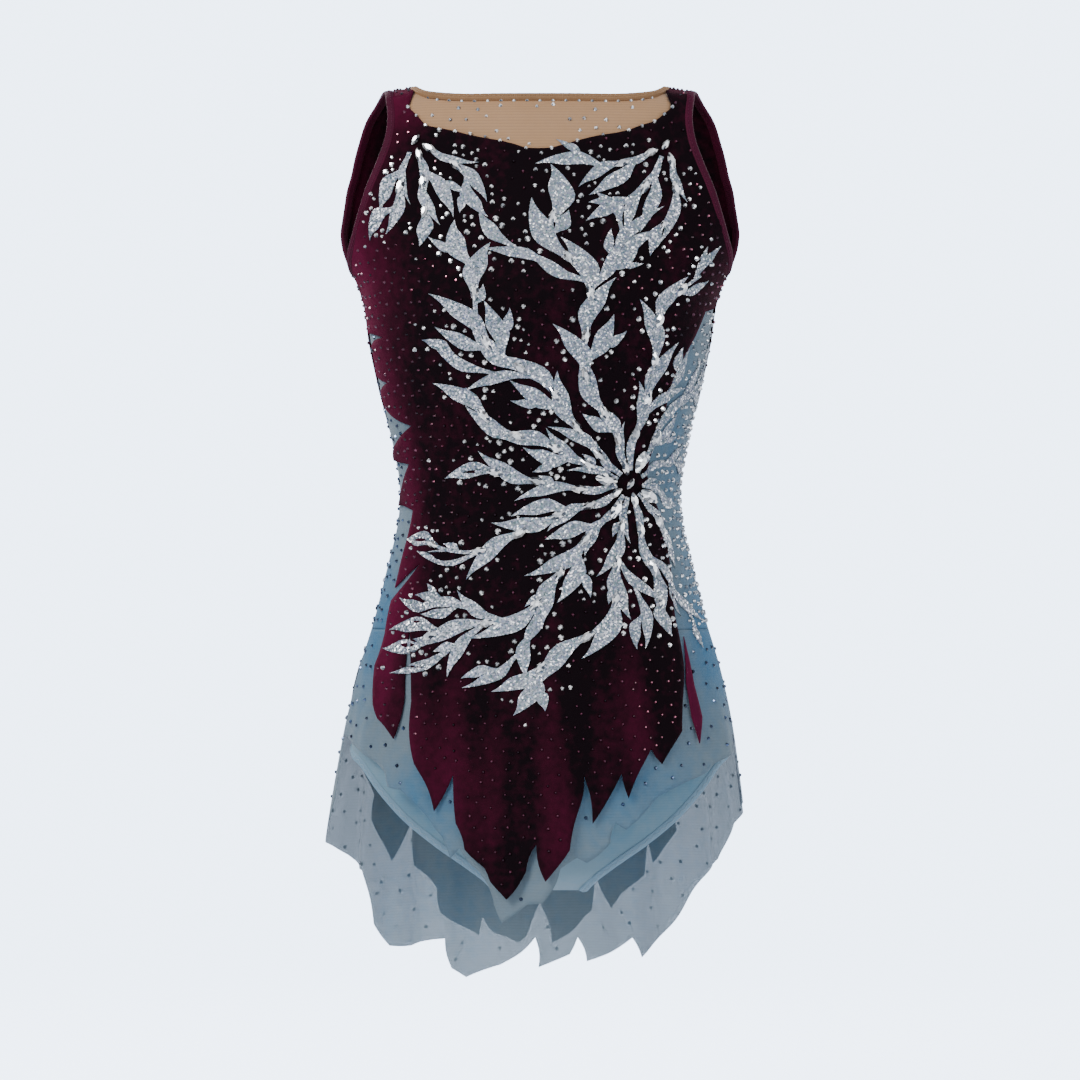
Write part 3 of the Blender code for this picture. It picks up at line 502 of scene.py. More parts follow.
@dataclass
class Edges:
    """The garment's free edges: neck, one armhole and one leg, the others being mirrored."""

    neck: Edge = field(init=False)
    arm: Edge = field(init=False)
    leg: Edge = field(init=False)
    neck_front: list[Place] = field(init=False)
    neck_back: list[Place] = field(init=False)
    arm_front: list[Place] = field(init=False)
    arm_back: list[Place] = field(init=False)
    leg_front: list[Place] = field(init=False)
    leg_back: list[Place] = field(init=False)

    def __post_init__(self) -> None:
        """Lay out the edges and the panels' own edges beside the bindings."""
        ridge = TORSO.front(RIDGE_NECK, 0)[0]
        front = spread([TORSO.front(*p) for p in NECK_FRONT][::-1] + [(ridge, 0.0)], 18)
        back = spread([(180 - ridge, 0.0)] + [TORSO.back(-x, z) for x, z in NECK_BACK], 18)
        left = front + back[1:]
        self.neck = Edge(left + mirrored(left[1:-1], BACK_CENTRE)[::-1])
        moved = self.neck.moved(TUCK)
        turn = len(front) - 1
        self.neck_front = moved[: turn + 1]
        self.neck_back = [(180 - moved[turn][0], moved[turn][1])] + moved[turn + 1:len(left)]

        ridge = TORSO.front(RIDGE_ARM, 0)[0]
        lowest = (90.0, TORSO.v_of(ARMPIT))
        front = [(ridge, 0.0)] + [TORSO.front(*p) for p in ARM_FRONT]
        front = spread(front + [(81.0, TORSO.v_of(ARMPIT + 2.5)), lowest], 17)
        back = [lowest, (99.0, TORSO.v_of(ARMPIT + 7.0))] + [TORSO.back(-x, z) for x, z in ARM_BACK[::-1]]
        self.arm = Edge(front + spread(back + [(180 - ridge, 0.0)], 17)[1:-1])
        moved = self.arm.moved(TUCK)
        turn = len(front) - 1
        self.arm_front = [(min(a, FRONT_SIDE), v) for a, v in moved[: turn + 1]]
        self.arm_back = [(BACK_SIDE, self.arm_front[-1][1])] + moved[turn + 1:]
        self.arm_back.append((180 - self.arm_front[0][0], self.arm_front[0][1]))

        ridge = TORSO.front(RIDGE_LEG, -638)[0]
        hip = (90.0, TORSO.v_of(LEG_TOP))
        front = spread([hip] + [TORSO.front(*p) for p in LEG_FRONT] + [(ridge, TORSO_END)], 24)
        back = [(180 - ridge, TORSO_END)] + [TORSO.back(-x, z) for x, z in LEG_BACK[::-1]] + [hip]
        self.leg = Edge(front + spread(back, 24)[1:-1])
        moved = self.leg.moved(TUCK)
        turn = len(front) - 1
        self.leg_front = [(FRONT_SIDE, moved[0][1])] + moved[1: turn + 1]
        self.leg_back = [(180 - self.leg_front[-1][0], self.leg_front[-1][1])] + moved[turn + 1:]
        self.leg_back.append((BACK_SIDE, self.leg_front[0][1]))
        for edge, step in ((self.neck, 3.2), (self.arm, 3.2), (self.leg, 3.4)):
            edge.refine(step)


def add_object(name: str, bm: bmesh.types.BMesh, material: Material, smooth: bool = True) -> bpy.types.Object:
    """Make a piece of a bmesh, faces out, riding with the garment.

    Args:
        name: the piece's name.
        bm: its mesh in metres; it is freed.
        material: its finish.
        smooth: whether its faces shade smoothly.

    Returns:
        The new object.
    """
    mesh = bpy.data.meshes.new(name)
    bm.to_mesh(mesh)
    bm.free()
    mesh.polygons.foreach_set("use_smooth", [smooth] * len(mesh.polygons))
    mesh.materials.append(material)
    made = bpy.data.objects.new(name, mesh)
    bpy.context.scene.collection.objects.link(made)
    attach(made, "root")
    return made


def inside(outline: Array, x: Array, y: Array) -> Array:
    """Which points lie within a closed outline."""
    hit = np.zeros(x.shape, bool)
    for (x0, y0), (x1, y1) in zip(np.roll(outline, 1, 0), outline):
        if y0 != y1:
            cross = (y0 > y) != (y1 > y)
            hit ^= cross & (x < (x1 - x0) * (y - y0) / (y1 - y0) + x0)
    return hit


def edge_distance(outline: Array, x: Array, y: Array) -> Array:
    """Distance of points to an outline's edge."""
    best = np.full(x.shape, 1e9)
    for (x0, y0), (x1, y1) in zip(np.roll(outline, 1, 0), outline):
        dx, dy = x1 - x0, y1 - y0
        share = np.clip(((x - x0) * dx + (y - y0) * dy) / max(dx * dx + dy * dy, 1e-9), 0, 1)
        best = np.minimum(best, np.hypot(x - x0 - share * dx, y - y0 - share * dy))
    return best


def fill(outline: Sequence[Place], pitch: float) -> tuple[Array, list[list[int]]]:
    """Fill a flat outline with even triangles.

    Args:
        outline: points round the cut edge, mm.
        pitch: length of a triangle's side, mm.

    Returns:
        The points and, as their numbers, the triangles.
    """
    rim: list[Place] = []
    for (x0, y0), (x1, y1) in zip(outline, [*outline[1:], outline[0]]):
        count = max(1, round(math.hypot(x1 - x0, y1 - y0) / pitch))
        rim += [(x0 + (x1 - x0) * n / count, y0 + (y1 - y0) * n / count) for n in range(count)]
    shape = np.array(rim)
    low, high = shape.min(0), shape.max(0)
    spots = np.array([
        (x, y) for k, y in enumerate(np.arange(low[1], high[1], pitch * ROW_SHARE))
        for x in np.arange(low[0] + (k % 2) * pitch / 2, high[0], pitch)])
    spots = spots[inside(shape, *spots.T)]
    spots = spots[edge_distance(shape, *spots.T) > 0.5 * pitch]
    points = [Vector(p) for p in rim] + [Vector(p) for p in spots]
    verts, _, faces, *_ = delaunay_2d_cdt(points, [], [list(range(len(rim)))], 1, TINY)
    return np.array([tuple(v) for v in verts]), faces


class Hold(Enum):
    """How a panel of cloth is held."""

    STRETCHED = "stretched"
    HUNG = "hung"


@dataclass(frozen=True)
class Cloth:
    """A kind of cloth as it is worn.

    Attributes:
        material: its finish.
        slot: the record's material slot; not used.
        form: the form it follows.
        lift: its inner face's lift in mm, or a function of angle and v.
        wall: thickness in mm.
    """

    material: Material
    slot: str
    form: Form
    lift: float | Reading
    wall: float


@dataclass(frozen=True)
class Panel:
    """One cut piece of cloth, wrapped on the form with its thickness.

    Attributes:
        node: the CAD node it stands for, and its own name stem.
        cloth: its cloth.
        tone: colour tone, 0 to 1, at angle and v.
        hold: how it is held; not used.
        rests_on: the piece that it is sewn to or lies on; not used.
        pitch: size of its mesh in mm.
    """

    node: str
    cloth: Cloth
    tone: Reading
    hold: Hold
    rests_on: str
    pitch: float

    def build(self, outline: Sequence[Place]) -> None:
        bm = bmesh.new()
        places, faces = fill([(a * FLAT_MM_PER_DEGREE, v) for a, v in outline], self.pitch)
        verts = [bm.verts.new((x, y, 0)) for x, y in places]
        for face in faces:
            bm.faces.new([verts[k] for k in face])
        bm.normal_update()
        for face in bm.faces:
            if face.normal.z > 0:
                face.normal_flip()
        degrees, v = places[:, 0] / FLAT_MM_PER_DEGREE, places[:, 1]
        lift = self.cloth.lift(degrees, v) if callable(self.cloth.lift) else self.cloth.lift
        points = self.cloth.form.lifted(degrees, v, lift) * MM
        tones = self.tone(degrees, v)
        layer = bm.loops.layers.uv.new("cloth")
        store = bm.verts.layers.float.new("tone")
        for k, vert in enumerate(bm.verts):
            vert[store] = float(tones[k])
            vert.co = Vector(points[k])
            for loop in vert.link_loops:
                loop[layer].uv = (places[k, 0] * MM, places[k, 1] * MM)
        area = sum(f.calc_area() for f in bm.faces)
        made = add_object(f"{self.node}_cloth", bm, self.cloth.material)
        thick = made.modifiers.new("thickness", "SOLIDIFY")
        thick.thickness = self.cloth.wall * MM
        thick.offset = 1.0
        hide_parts(self.node)


def feed(tree: Tree, made: bpy.types.Node, inputs: dict[str | int, object]) -> None:
    """Set a node's inputs, linked or plain."""
    for name, value in inputs.items():
        if isinstance(value, Socket):
            tree.links.new(value, made.inputs[name])
        else:
            made.inputs[name].default_value = value


def node(
    tree: Tree, kind: str, inputs: dict[str | int, object] | None = None, **settings: object
) -> bpy.types.Node:
    """Add a shader node with its settings and its inputs."""
    made = tree.nodes.new(f"ShaderNode{kind}")
    for name, value in settings.items():
        setattr(made, name, value)
    feed(tree, made, inputs or {})
    return made


def math_node(tree: Tree, operation: str, *values: object) -> Socket:
    """A Math node's result."""
    return node(tree, "Math", dict(enumerate(values)), operation=operation).outputs[0]


def vector_node(tree: Tree, operation: str, inputs: dict[str | int, object]) -> Socket:
    """A Vector Math node's vector."""
    return node(tree, "VectorMath", inputs, operation=operation).outputs[0]


def noise(tree: Tree, where: Socket, scale: float, detail: float, roughness: float = 0.5) -> Socket:
    """Noise, 0 to 1."""
    inputs = {"Vector": where, "Scale": scale, "Detail": detail, "Roughness": roughness}
    return node(tree, "TexNoise", inputs).outputs[0]


def mix_colour(tree: Tree, share: object, first: object, second: object) -> Socket:
    """A mix of two colours."""
    return node(tree, "Mix", {0: share, 6: first, 7: second}, data_type="RGBA").outputs[2]


def between(tree: Tree, value: Socket, low: float, high: float) -> Socket:
    """A value of 0 to 1 brought to lie from low to high."""
    return node(tree, "MapRange", {"Value": value, "To Min": low, "To Max": high}).outputs[0]


def bump(tree: Tree, height: Socket, strength: float, distance: float) -> Socket:
    """A normal bent by a height."""
    return node(tree, "Bump", {"Height": height, "Strength": strength, "Distance": distance}).outputs[0]


def coordinates(tree: Tree, kind: str = "Object") -> Socket:
    """Object coordinates or the piece's own UV."""
    return node(tree, "TexCoord").outputs[kind]


def own_tone(tree: Tree) -> Socket:
    """The tone that the piece's mesh carries."""
    return node(tree, "Attribute", attribute_name="tone").outputs["Fac"]


def glint(tree: Tree, flash: Socket, power: float, strength: float) -> dict[str, object]:
    """Shader inputs that paint a glint, as emission, on the brightest flakes or facets."""
    shine = mix_colour(tree, math_node(tree, "POWER", flash, power), (0, 0, 0, 1), (1, 1, 1, 1))
    return {"Emission Color": shine, "Emission Strength": strength}


def new_group(name: str, inputs: dict[str, object], outputs: dict[str, str]) -> tuple[Tree, Sequence[Socket]]:
    """An empty shader node group with named sockets, and what it is given."""
    tree = bpy.data.node_groups.new(name, "ShaderNodeTree")
    tree.interface.new_socket("Coordinates", in_out="INPUT", socket_type=VECTOR)
    for label, value in inputs.items():
        tree.interface.new_socket(label, in_out="INPUT", socket_type=NUMBER).default_value = value
    for label, kind in outputs.items():
        tree.interface.new_socket(label, in_out="OUTPUT", socket_type=kind)
    return tree, tree.nodes.new("NodeGroupInput").outputs


def make_pile() -> Tree:
    """Brushed nap: broad strokes and small crushed spots added to the given tone, which on the wine velvet is
    painted crimson sheen, and the pile's own grain.
    """
    tree, given = new_group("pile", {"Tone": 0.5, "Stroke": 1.0}, {"Mottled": NUMBER, "Grain": NUMBER})
    stretched = node(tree, "Mapping", {"Vector": given[0], "Scale": (1.0, 1.0, 0.35)}).outputs[0]
    broad = noise(tree, stretched, 22.0, 3.0, 0.55)
    crushed = noise(tree, given[0], 150.0, 2.0)
    grain = noise(tree, given[0], 1500.0, 1.0)
    sway = math_node(tree, "MULTIPLY", math_node(tree, "SUBTRACT", broad, 0.5), given["Stroke"])
    spots = math_node(tree, "MULTIPLY", math_node(tree, "SUBTRACT", crushed, 0.5), 0.5)
    total = math_node(tree, "ADD", math_node(tree, "ADD", given["Tone"], sway), spots)
    kept = node(tree, "Clamp", {"Value": total}).outputs[0]
    feed(tree, tree.nodes.new("NodeGroupOutput"), {"Mottled": kept, "Grain": grain})
    return tree


def make_weave() -> Tree:
    """Knitted net: crossing threads with small holes, and the ribs of the knit."""
    tree, given = new_group("weave", {"Threads": 900.0, "Ribs": 0.3}, {"Thread": NUMBER, "Rib": NUMBER})
    split = node(tree, "SeparateXYZ", {0: given[0]}).outputs
    rate = math_node(tree, "MULTIPLY", given["Threads"], 2 * math.pi)
    turned = []
    for operation in ("ADD", "SUBTRACT"):
        run = math_node(tree, operation, split[0], split[1])
        wave = math_node(tree, "SINE", math_node(tree, "MULTIPLY", run, rate))
        turned.append(math_node(tree, "ABSOLUTE", wave))
    ribs = math_node(tree, "SINE", math_node(tree, "MULTIPLY", split[1], 2 * math.pi * KNIT_RIBS))
    rib = math_node(tree, "MULTIPLY", between(tree, ribs, 0.0, 1.0), given["Ribs"])
    lace = math_node(tree, "MAXIMUM", *turned)
    feed(tree, tree.nodes.new("NodeGroupOutput"), {"Thread": lace, "Rib": rib})
    return tree


def make_sparkle() -> Tree:
    """Glitter: flakes that each lie at their own tilt."""
    outputs = {"Flash": NUMBER, "Tilt": VECTOR, "Tint": "NodeSocketColor"}
    tree, given = new_group("sparkle", {"Flakes": 900.0}, outputs)
    tint = node(tree, "TexVoronoi", {"Vector": given[0], "Scale": given["Flakes"]}).outputs["Color"]
    flash = math_node(tree, "POWER", node(tree, "SeparateColor", {0: tint}).outputs[0], 2.2)
    normal = node(tree, "NewGeometry").outputs["Normal"]
    shift = vector_node(tree, "SUBTRACT", {0: tint, 1: (0.5, 0.5, 0.5)})
    scaled = vector_node(tree, "SCALE", {0: shift, "Scale": 0.9})
    tilt = vector_node(tree, "NORMALIZE", {0: vector_node(tree, "ADD", {0: scaled, 1: normal})})
    feed(tree, tree.nodes.new("NodeGroupOutput"), {"Flash": flash, "Tilt": tilt, "Tint": tint})
    return tree


@dataclass(frozen=True)
class Effects:
    """Effects that several finishes share, each a node group built once."""

    pile: Tree = field(default_factory=make_pile)
    weave: Tree = field(default_factory=make_weave)
    sparkle: Tree = field(default_factory=make_sparkle)


def blank(name: str) -> tuple[Material, Tree, bpy.types.Node]:
    """A new material, its tree and its Principled shader."""
    made = bpy.data.materials.new(name)
    made.use_nodes = True
    return made, made.node_tree, made.node_tree.nodes["Principled BSDF"]


def place_group(tree: Tree, group: Tree, inputs: dict[str, object]) -> Sequence[Socket]:
    """What a shared effect gives in a material with its own values."""
    return node(tree, "Group", inputs, node_tree=group).outputs


@dataclass(frozen=True)
class Velvet:
    """Stretch velvet: a dark colour at low tone and a bright one at high tone; on the wine velvet the tone is
    painted crimson sheen.
    """

    name: str
    deep: Colour
    high_tone: Colour
    sheen: Colour
    sheen_weight: float

    def material(self, effects: Effects) -> Material:
        """Make the velvet's material."""
        made, tree, shader = blank(self.name)
        pile = place_group(tree, effects.pile, {
            "Coordinates": coordinates(tree), "Tone": own_tone(tree), "Stroke": 0.55})
        # painted sheen: on the wine velvet the bright colour is painted where its tone marks light grazing
        # the nap
        colour = mix_colour(tree, pile["Mottled"], (*self.deep, 1), (*self.high_tone, 1))
        fleck = between(tree, pile["Grain"], 0.72, 1.28)
        feed(tree, shader, {
            "Base Color": node(tree, "HueSaturation", {"Color": colour, "Value": fleck}).outputs[0],
            "Roughness": between(tree, pile["Grain"], 0.82, 1.0),
            "Normal": bump(tree, pile["Grain"], 0.35, 0.0006),
            "Specular IOR Level": 0.12, "Sheen Weight": self.sheen_weight, "Sheen Roughness": 0.42,
            "Sheen Tint": (*self.sheen, 1),
        })
        return made


@dataclass(frozen=True)
class Net:
    """Stretch net, seen through a little, in a plain or a dyed colour."""

    name: str
    pale: Colour
    strong: Colour
    low: float
    high: float
    threads: float = 760.0
    ribs: float = 0.25

    def material(self, effects: Effects) -> Material:
        """Make the net's material."""
        made, tree, shader = blank(self.name)
        pile = place_group(tree, effects.pile, {
            "Coordinates": coordinates(tree), "Tone": own_tone(tree), "Stroke": 0.9})
        weave = place_group(tree, effects.weave, {
            "Coordinates": coordinates(tree, "UV"), "Threads": self.threads, "Ribs": self.ribs})
        colour = mix_colour(tree, pile["Mottled"], (*self.pale, 1), (*self.strong, 1))
        shade = between(tree, math_node(tree, "SUBTRACT", weave["Thread"], weave["Rib"]), 0.82, 1.1)
        feed(tree, shader, {
            "Base Color": node(tree, "HueSaturation", {"Color": colour, "Value": shade}).outputs[0],
            "Alpha": between(tree, weave["Thread"], self.low, self.high),
            "Roughness": between(tree, pile["Grain"], 0.6, 0.8),
            "Normal": bump(tree, weave["Thread"], 0.3, 0.0003),
            "Specular IOR Level": 0.25, "Sheen Weight": 0.25,
        })
        return made


@dataclass(frozen=True)
class Elastic:
    """Folded elastic of a binding: close ribs along its run."""

    name: str
    colour: Colour
    dark: Colour
    sheen: float = 0.3

    def material(self, effects: Effects) -> Material:
        """Make the elastic's material."""
        made, tree, shader = blank(self.name)
        run = node(tree, "SeparateXYZ", {0: coordinates(tree, "UV")}).outputs[0]
        ribs = math_node(tree, "SINE", math_node(tree, "MULTIPLY", run, 2 * math.pi * ELASTIC_RIBS))
        rib = node(tree, "MapRange", {"Value": ribs, "From Min": -1.0}).outputs[0]
        pile = place_group(tree, effects.pile, {"Coordinates": coordinates(tree), "Tone": 0.5, "Stroke": 0.8})
        # the colour darkens in the grooves between the ribs, which is painted shade, and is mottled at random
        # by the pile's noise
        share = math_node(tree, "MULTIPLY", pile["Mottled"], between(tree, rib, 0.6, 1.0))
        feed(tree, shader, {
            "Base Color": mix_colour(tree, share, (*self.dark, 1), (*self.colour, 1)),
            "Roughness": between(tree, pile["Grain"], 0.55, 0.8), "Normal": bump(tree, rib, 0.4, 0.0003),
            "Specular IOR Level": 0.15, "Sheen Weight": self.sheen, "Sheen Tint": (*self.colour, 1),
        })
        return made


@dataclass(frozen=True)
class Glitter:
    """Silver glitter fabric: flakes that flash one by one, the flashes painted as a white base colour and
    emission.
    """

    name: str = "silver_glitter"

    def material(self, effects: Effects) -> Material:
        """Make the glitter's material."""
        made, tree, shader = blank(self.name)
        fine = place_group(tree, effects.sparkle, {"Coordinates": coordinates(tree), "Flakes": 820.0})
        # painted glints: flakes with a high Flash get a near-white base colour and, below, emission
        base = mix_colour(tree, fine["Flash"], (0.20, 0.225, 0.27, 1), (1.0, 1.0, 1.0, 1))
        feed(tree, shader, {
            "Base Color": mix_colour(tree, 0.08, base, fine["Tint"]),
            "Roughness": between(tree, fine["Flash"], 0.55, 0.2),
            "Normal": fine["Tilt"], "Metallic": 0.7, **glint(tree, fine["Flash"], 7.0, 1.3),
        })
        return made


@dataclass(frozen=True)
class Crystal:
    """Foiled crystal: facet reflections painted into the colour, from dark to light by the tone, and a
    painted glint as emission where it glows; each stone with its own strength.
    """

    name: str
    dark: Colour
    light: Colour
    glow: float = 0.0
    metallic: float = 0.8

    def material(self, effects: Effects) -> Material:
        """Make the crystal's material."""
        made, tree, shader = blank(self.name)
        cells = place_group(tree, effects.sparkle, {"Coordinates": coordinates(tree), "Flakes": 420.0})
        # painted reflections: the stored tone of each facet and stone, with the random cells, picks the dark
        # or the light colour
        share = math_node(tree, "MULTIPLY", own_tone(tree), between(tree, cells["Flash"], 0.7, 1.0))
        feed(tree, shader, {
            "Base Color": mix_colour(tree, share, (*self.dark, 1), (*self.light, 1)),
            "Roughness": between(tree, share, 0.16, 0.05), "Metallic": self.metallic, "Coat Weight": 1.0,
        })
        if self.glow:
            feed(tree, shader, glint(tree, share, 2.4, self.glow))
        return made


@dataclass(frozen=True)
class Binding:
    """Folded elastic sewn over a closed free edge, with its stitches."""

    node_name: str
    edge: Edge
    inner: float
    outer: float
    stitch_rows: tuple[float, ...]
    zigzag: bool = False
    flip: bool = False

    def point(self, station: int, across: float, out: float) -> Vector:
        """A point of the binding, in metres."""
        at = station % len(self.edge.points)
        x, y, z = self.edge.points[at] + across * self.edge.side[at] + out * self.edge.normals[at]
        return Vector((-x if self.flip else x, y, z)) * MM

    def build(self, material: Material, thread: Material, slot: str) -> None:
        """Make the elastic and its stitches.

        Args:
            material: the elastic's finish.
            thread: the thread's finish.
            slot: the record's material slot; not used.
        """
        inner, outer, wide = self.inner, self.outer, BINDING_WIDTH
        middle, half = (inner + outer) / 2, (outer - inner) / 2
        section = (
            (0.0, middle), (0.25, middle - 0.62 * half), (1.0, inner + 0.06 * half),
            (2.2, inner + 0.14 * half), (4.4, inner + 0.1 * half), (wide, inner), (wide + 0.1, inner + 0.5),
            (wide + 0.1, outer - 1.1),
            (wide - 0.2, outer - 0.5), (4.4, outer - 0.14 * half), (2.2, outer), (1.0, outer - 0.12 * half),
            (0.25, middle + 0.62 * half),
        )
        stations, around = len(self.edge.points), len(section)
        lengths = np.linalg.norm(np.roll(self.edge.points, -1, 0) - self.edge.points, axis=1)
        run = np.concatenate(([0.0], np.cumsum(lengths)))
        bm = bmesh.new()
        layer = bm.loops.layers.uv.new("cloth")
        store = bm.verts.layers.float.new("tone")
        grid = bmesh.ops.create_grid(bm, x_segments=stations, y_segments=around, size=1)
        verts = sorted(grid["verts"], key=lambda v: (round(v.co.x, 5), round(v.co.y, 5)))
        for k, vert in enumerate(verts):
            station, corner = divmod(k, around + 1)
            across, out = section[corner % around]
            pucker = PUCKER * math.sin(run[station] * 0.9) if corner % around in OUTER_CORNERS else 0
            vert.co = self.point(station, across, out + pucker)
            vert[store] = 0.5
            for loop in vert.link_loops:
                loop[layer].uv = (run[station] * MM, corner * 1.2 * MM)
        bmesh.ops.remove_doubles(bm, verts=bm.verts, dist=1e-7)
        bmesh.ops.recalc_face_normals(bm, faces=bm.faces)
        if bm.calc_volume(signed=True) < 0:
            bmesh.ops.reverse_faces(bm, faces=bm.faces)
        made = add_object(f"{self.node_name}_elastic", bm, material)
        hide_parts(self.node_name)
        self.sew(thread)
        LOG.info("%s: %.0f mm round, %d stations", made.name, run[-1], stations)

    def sew(self, thread: Material) -> bpy.types.Object:
        """Lay the stitches, in straight rows or as one zigzag."""
        ends: list[tuple[Vector, Vector]] = []
        for row in self.stitch_rows:
            for k in range(len(self.edge.points)):
                if self.zigzag:
                    sway = -ZIGZAG_REACH if k % 2 else ZIGZAG_REACH
                    above = self.outer + 0.1
                    ends.append((self.point(k, row + sway, above), self.point(k + 1, row - sway, above)))
                else:
                    above = self.outer + 0.05
                    first, second = self.point(k, row, above), self.point(k + 1, row, above)
                    ends.append((first.lerp(second, 0.12), first.lerp(second, 0.82)))
        bm = bmesh.new()
        bm.verts.layers.float.new("tone")
        for first, second in ends:
            made = bmesh.ops.create_cone(
                bm, cap_ends=True, segments=5, radius1=THREAD_RADIUS, radius2=THREAD_RADIUS, depth=1)
            reach = second - first
            turn = reach.to_track_quat("Z", "Y").to_matrix().to_4x4()
            stretch = Matrix.Diagonal((1, 1, reach.length, 1))
            matrix = Matrix.Translation((first + second) / 2) @ turn @ stretch
            bmesh.ops.transform(bm, matrix=matrix, verts=made["verts"])
        return add_object(f"{self.node_name}_stitches", bm, thread)


@dataclass
class Ground:
    """What lies under the leaves and stones: velvet, or net beside it, up to the bindings."""

    velvet: list[Array]
    net: list[Array]
    rims: Array
    chart: Array = field(init=False)

    def __post_init__(self) -> None:
        """Chart the cloth that leaves may lie on."""
        at = np.arange(0.0, 360.0, CHART_DEGREES), np.arange(0.0, SKIRT_END, CHART_ROW)
        degrees, v = np.meshgrid(*at, indexing="ij")
        flat_degrees, flat_v = degrees.ravel(), v.ravel()
        found = self.held(self.velvet + self.net, flat_degrees, flat_v)
        for x, y in self.rims:
            off = (flat_degrees * CHART_SCALE - x + 360) % 720 - 360
            found &= np.hypot(off, flat_v - y) > RIM_CLEAR
        self.chart = found.reshape(degrees.shape)

    @staticmethod
    def held(outlines: Sequence[Array], degrees: Array, v: Array) -> Array:
        """Which places lie within any of some outlines."""
        found = np.zeros(v.shape, bool)
        for outline in outlines:
            low, high = outline.min(0), outline.max(0)
            for turn in TURNS:
                x = degrees * CHART_SCALE + turn
                near = (x >= low[0]) & (x <= high[0]) & (v >= low[1]) & (v <= high[1]) & ~found
                if near.any():
                    found[near] = inside(outline, x[near], v[near])
        return found

    def face(self, degrees: Array, v: Array) -> Array:
        """Lift of the cloth's outer face."""
        return np.where(self.held(self.velvet, degrees, v), velvet_base(degrees, v) + VELVET_WALL, NET_FACE)

    def carries(self, degrees: Array, v: Array) -> bool:
        """Whether all places lie on cloth and clear of the bindings."""
        column = (np.round(degrees % 360 / CHART_DEGREES) % self.chart.shape[0]).astype(int)
        row = np.round(v / CHART_ROW).astype(int)
        if row.min() < 0 or row.max() >= self.chart.shape[1]:
            return False
        return bool(self.chart[column, row].all())


@dataclass
class Run:
    """A wavy line that leaves grow on; level 0 is a ray from the hub, level 1 a twig."""

    start: Place
    bearing: float
    length: float
    bend: float
    level: int

    def point(self, share: float) -> Place:
        """Point at a share of the line."""
        wave = 3.4 * math.sin(share * self.length / 19 + self.bearing)
        turned = math.radians(self.bearing + self.bend * share**1.5 + wave)
        reach = self.length * share
        return self.start[0] + reach * math.sin(turned), self.start[1] + reach * math.cos(turned)

    def along(self, share: float) -> Triple:
        """Point and direction at a share of the line."""
        (x, y), (x2, y2) = self.point(share), self.point(share + 0.02)
        return x, y, math.atan2(x2 - x, y2 - y)


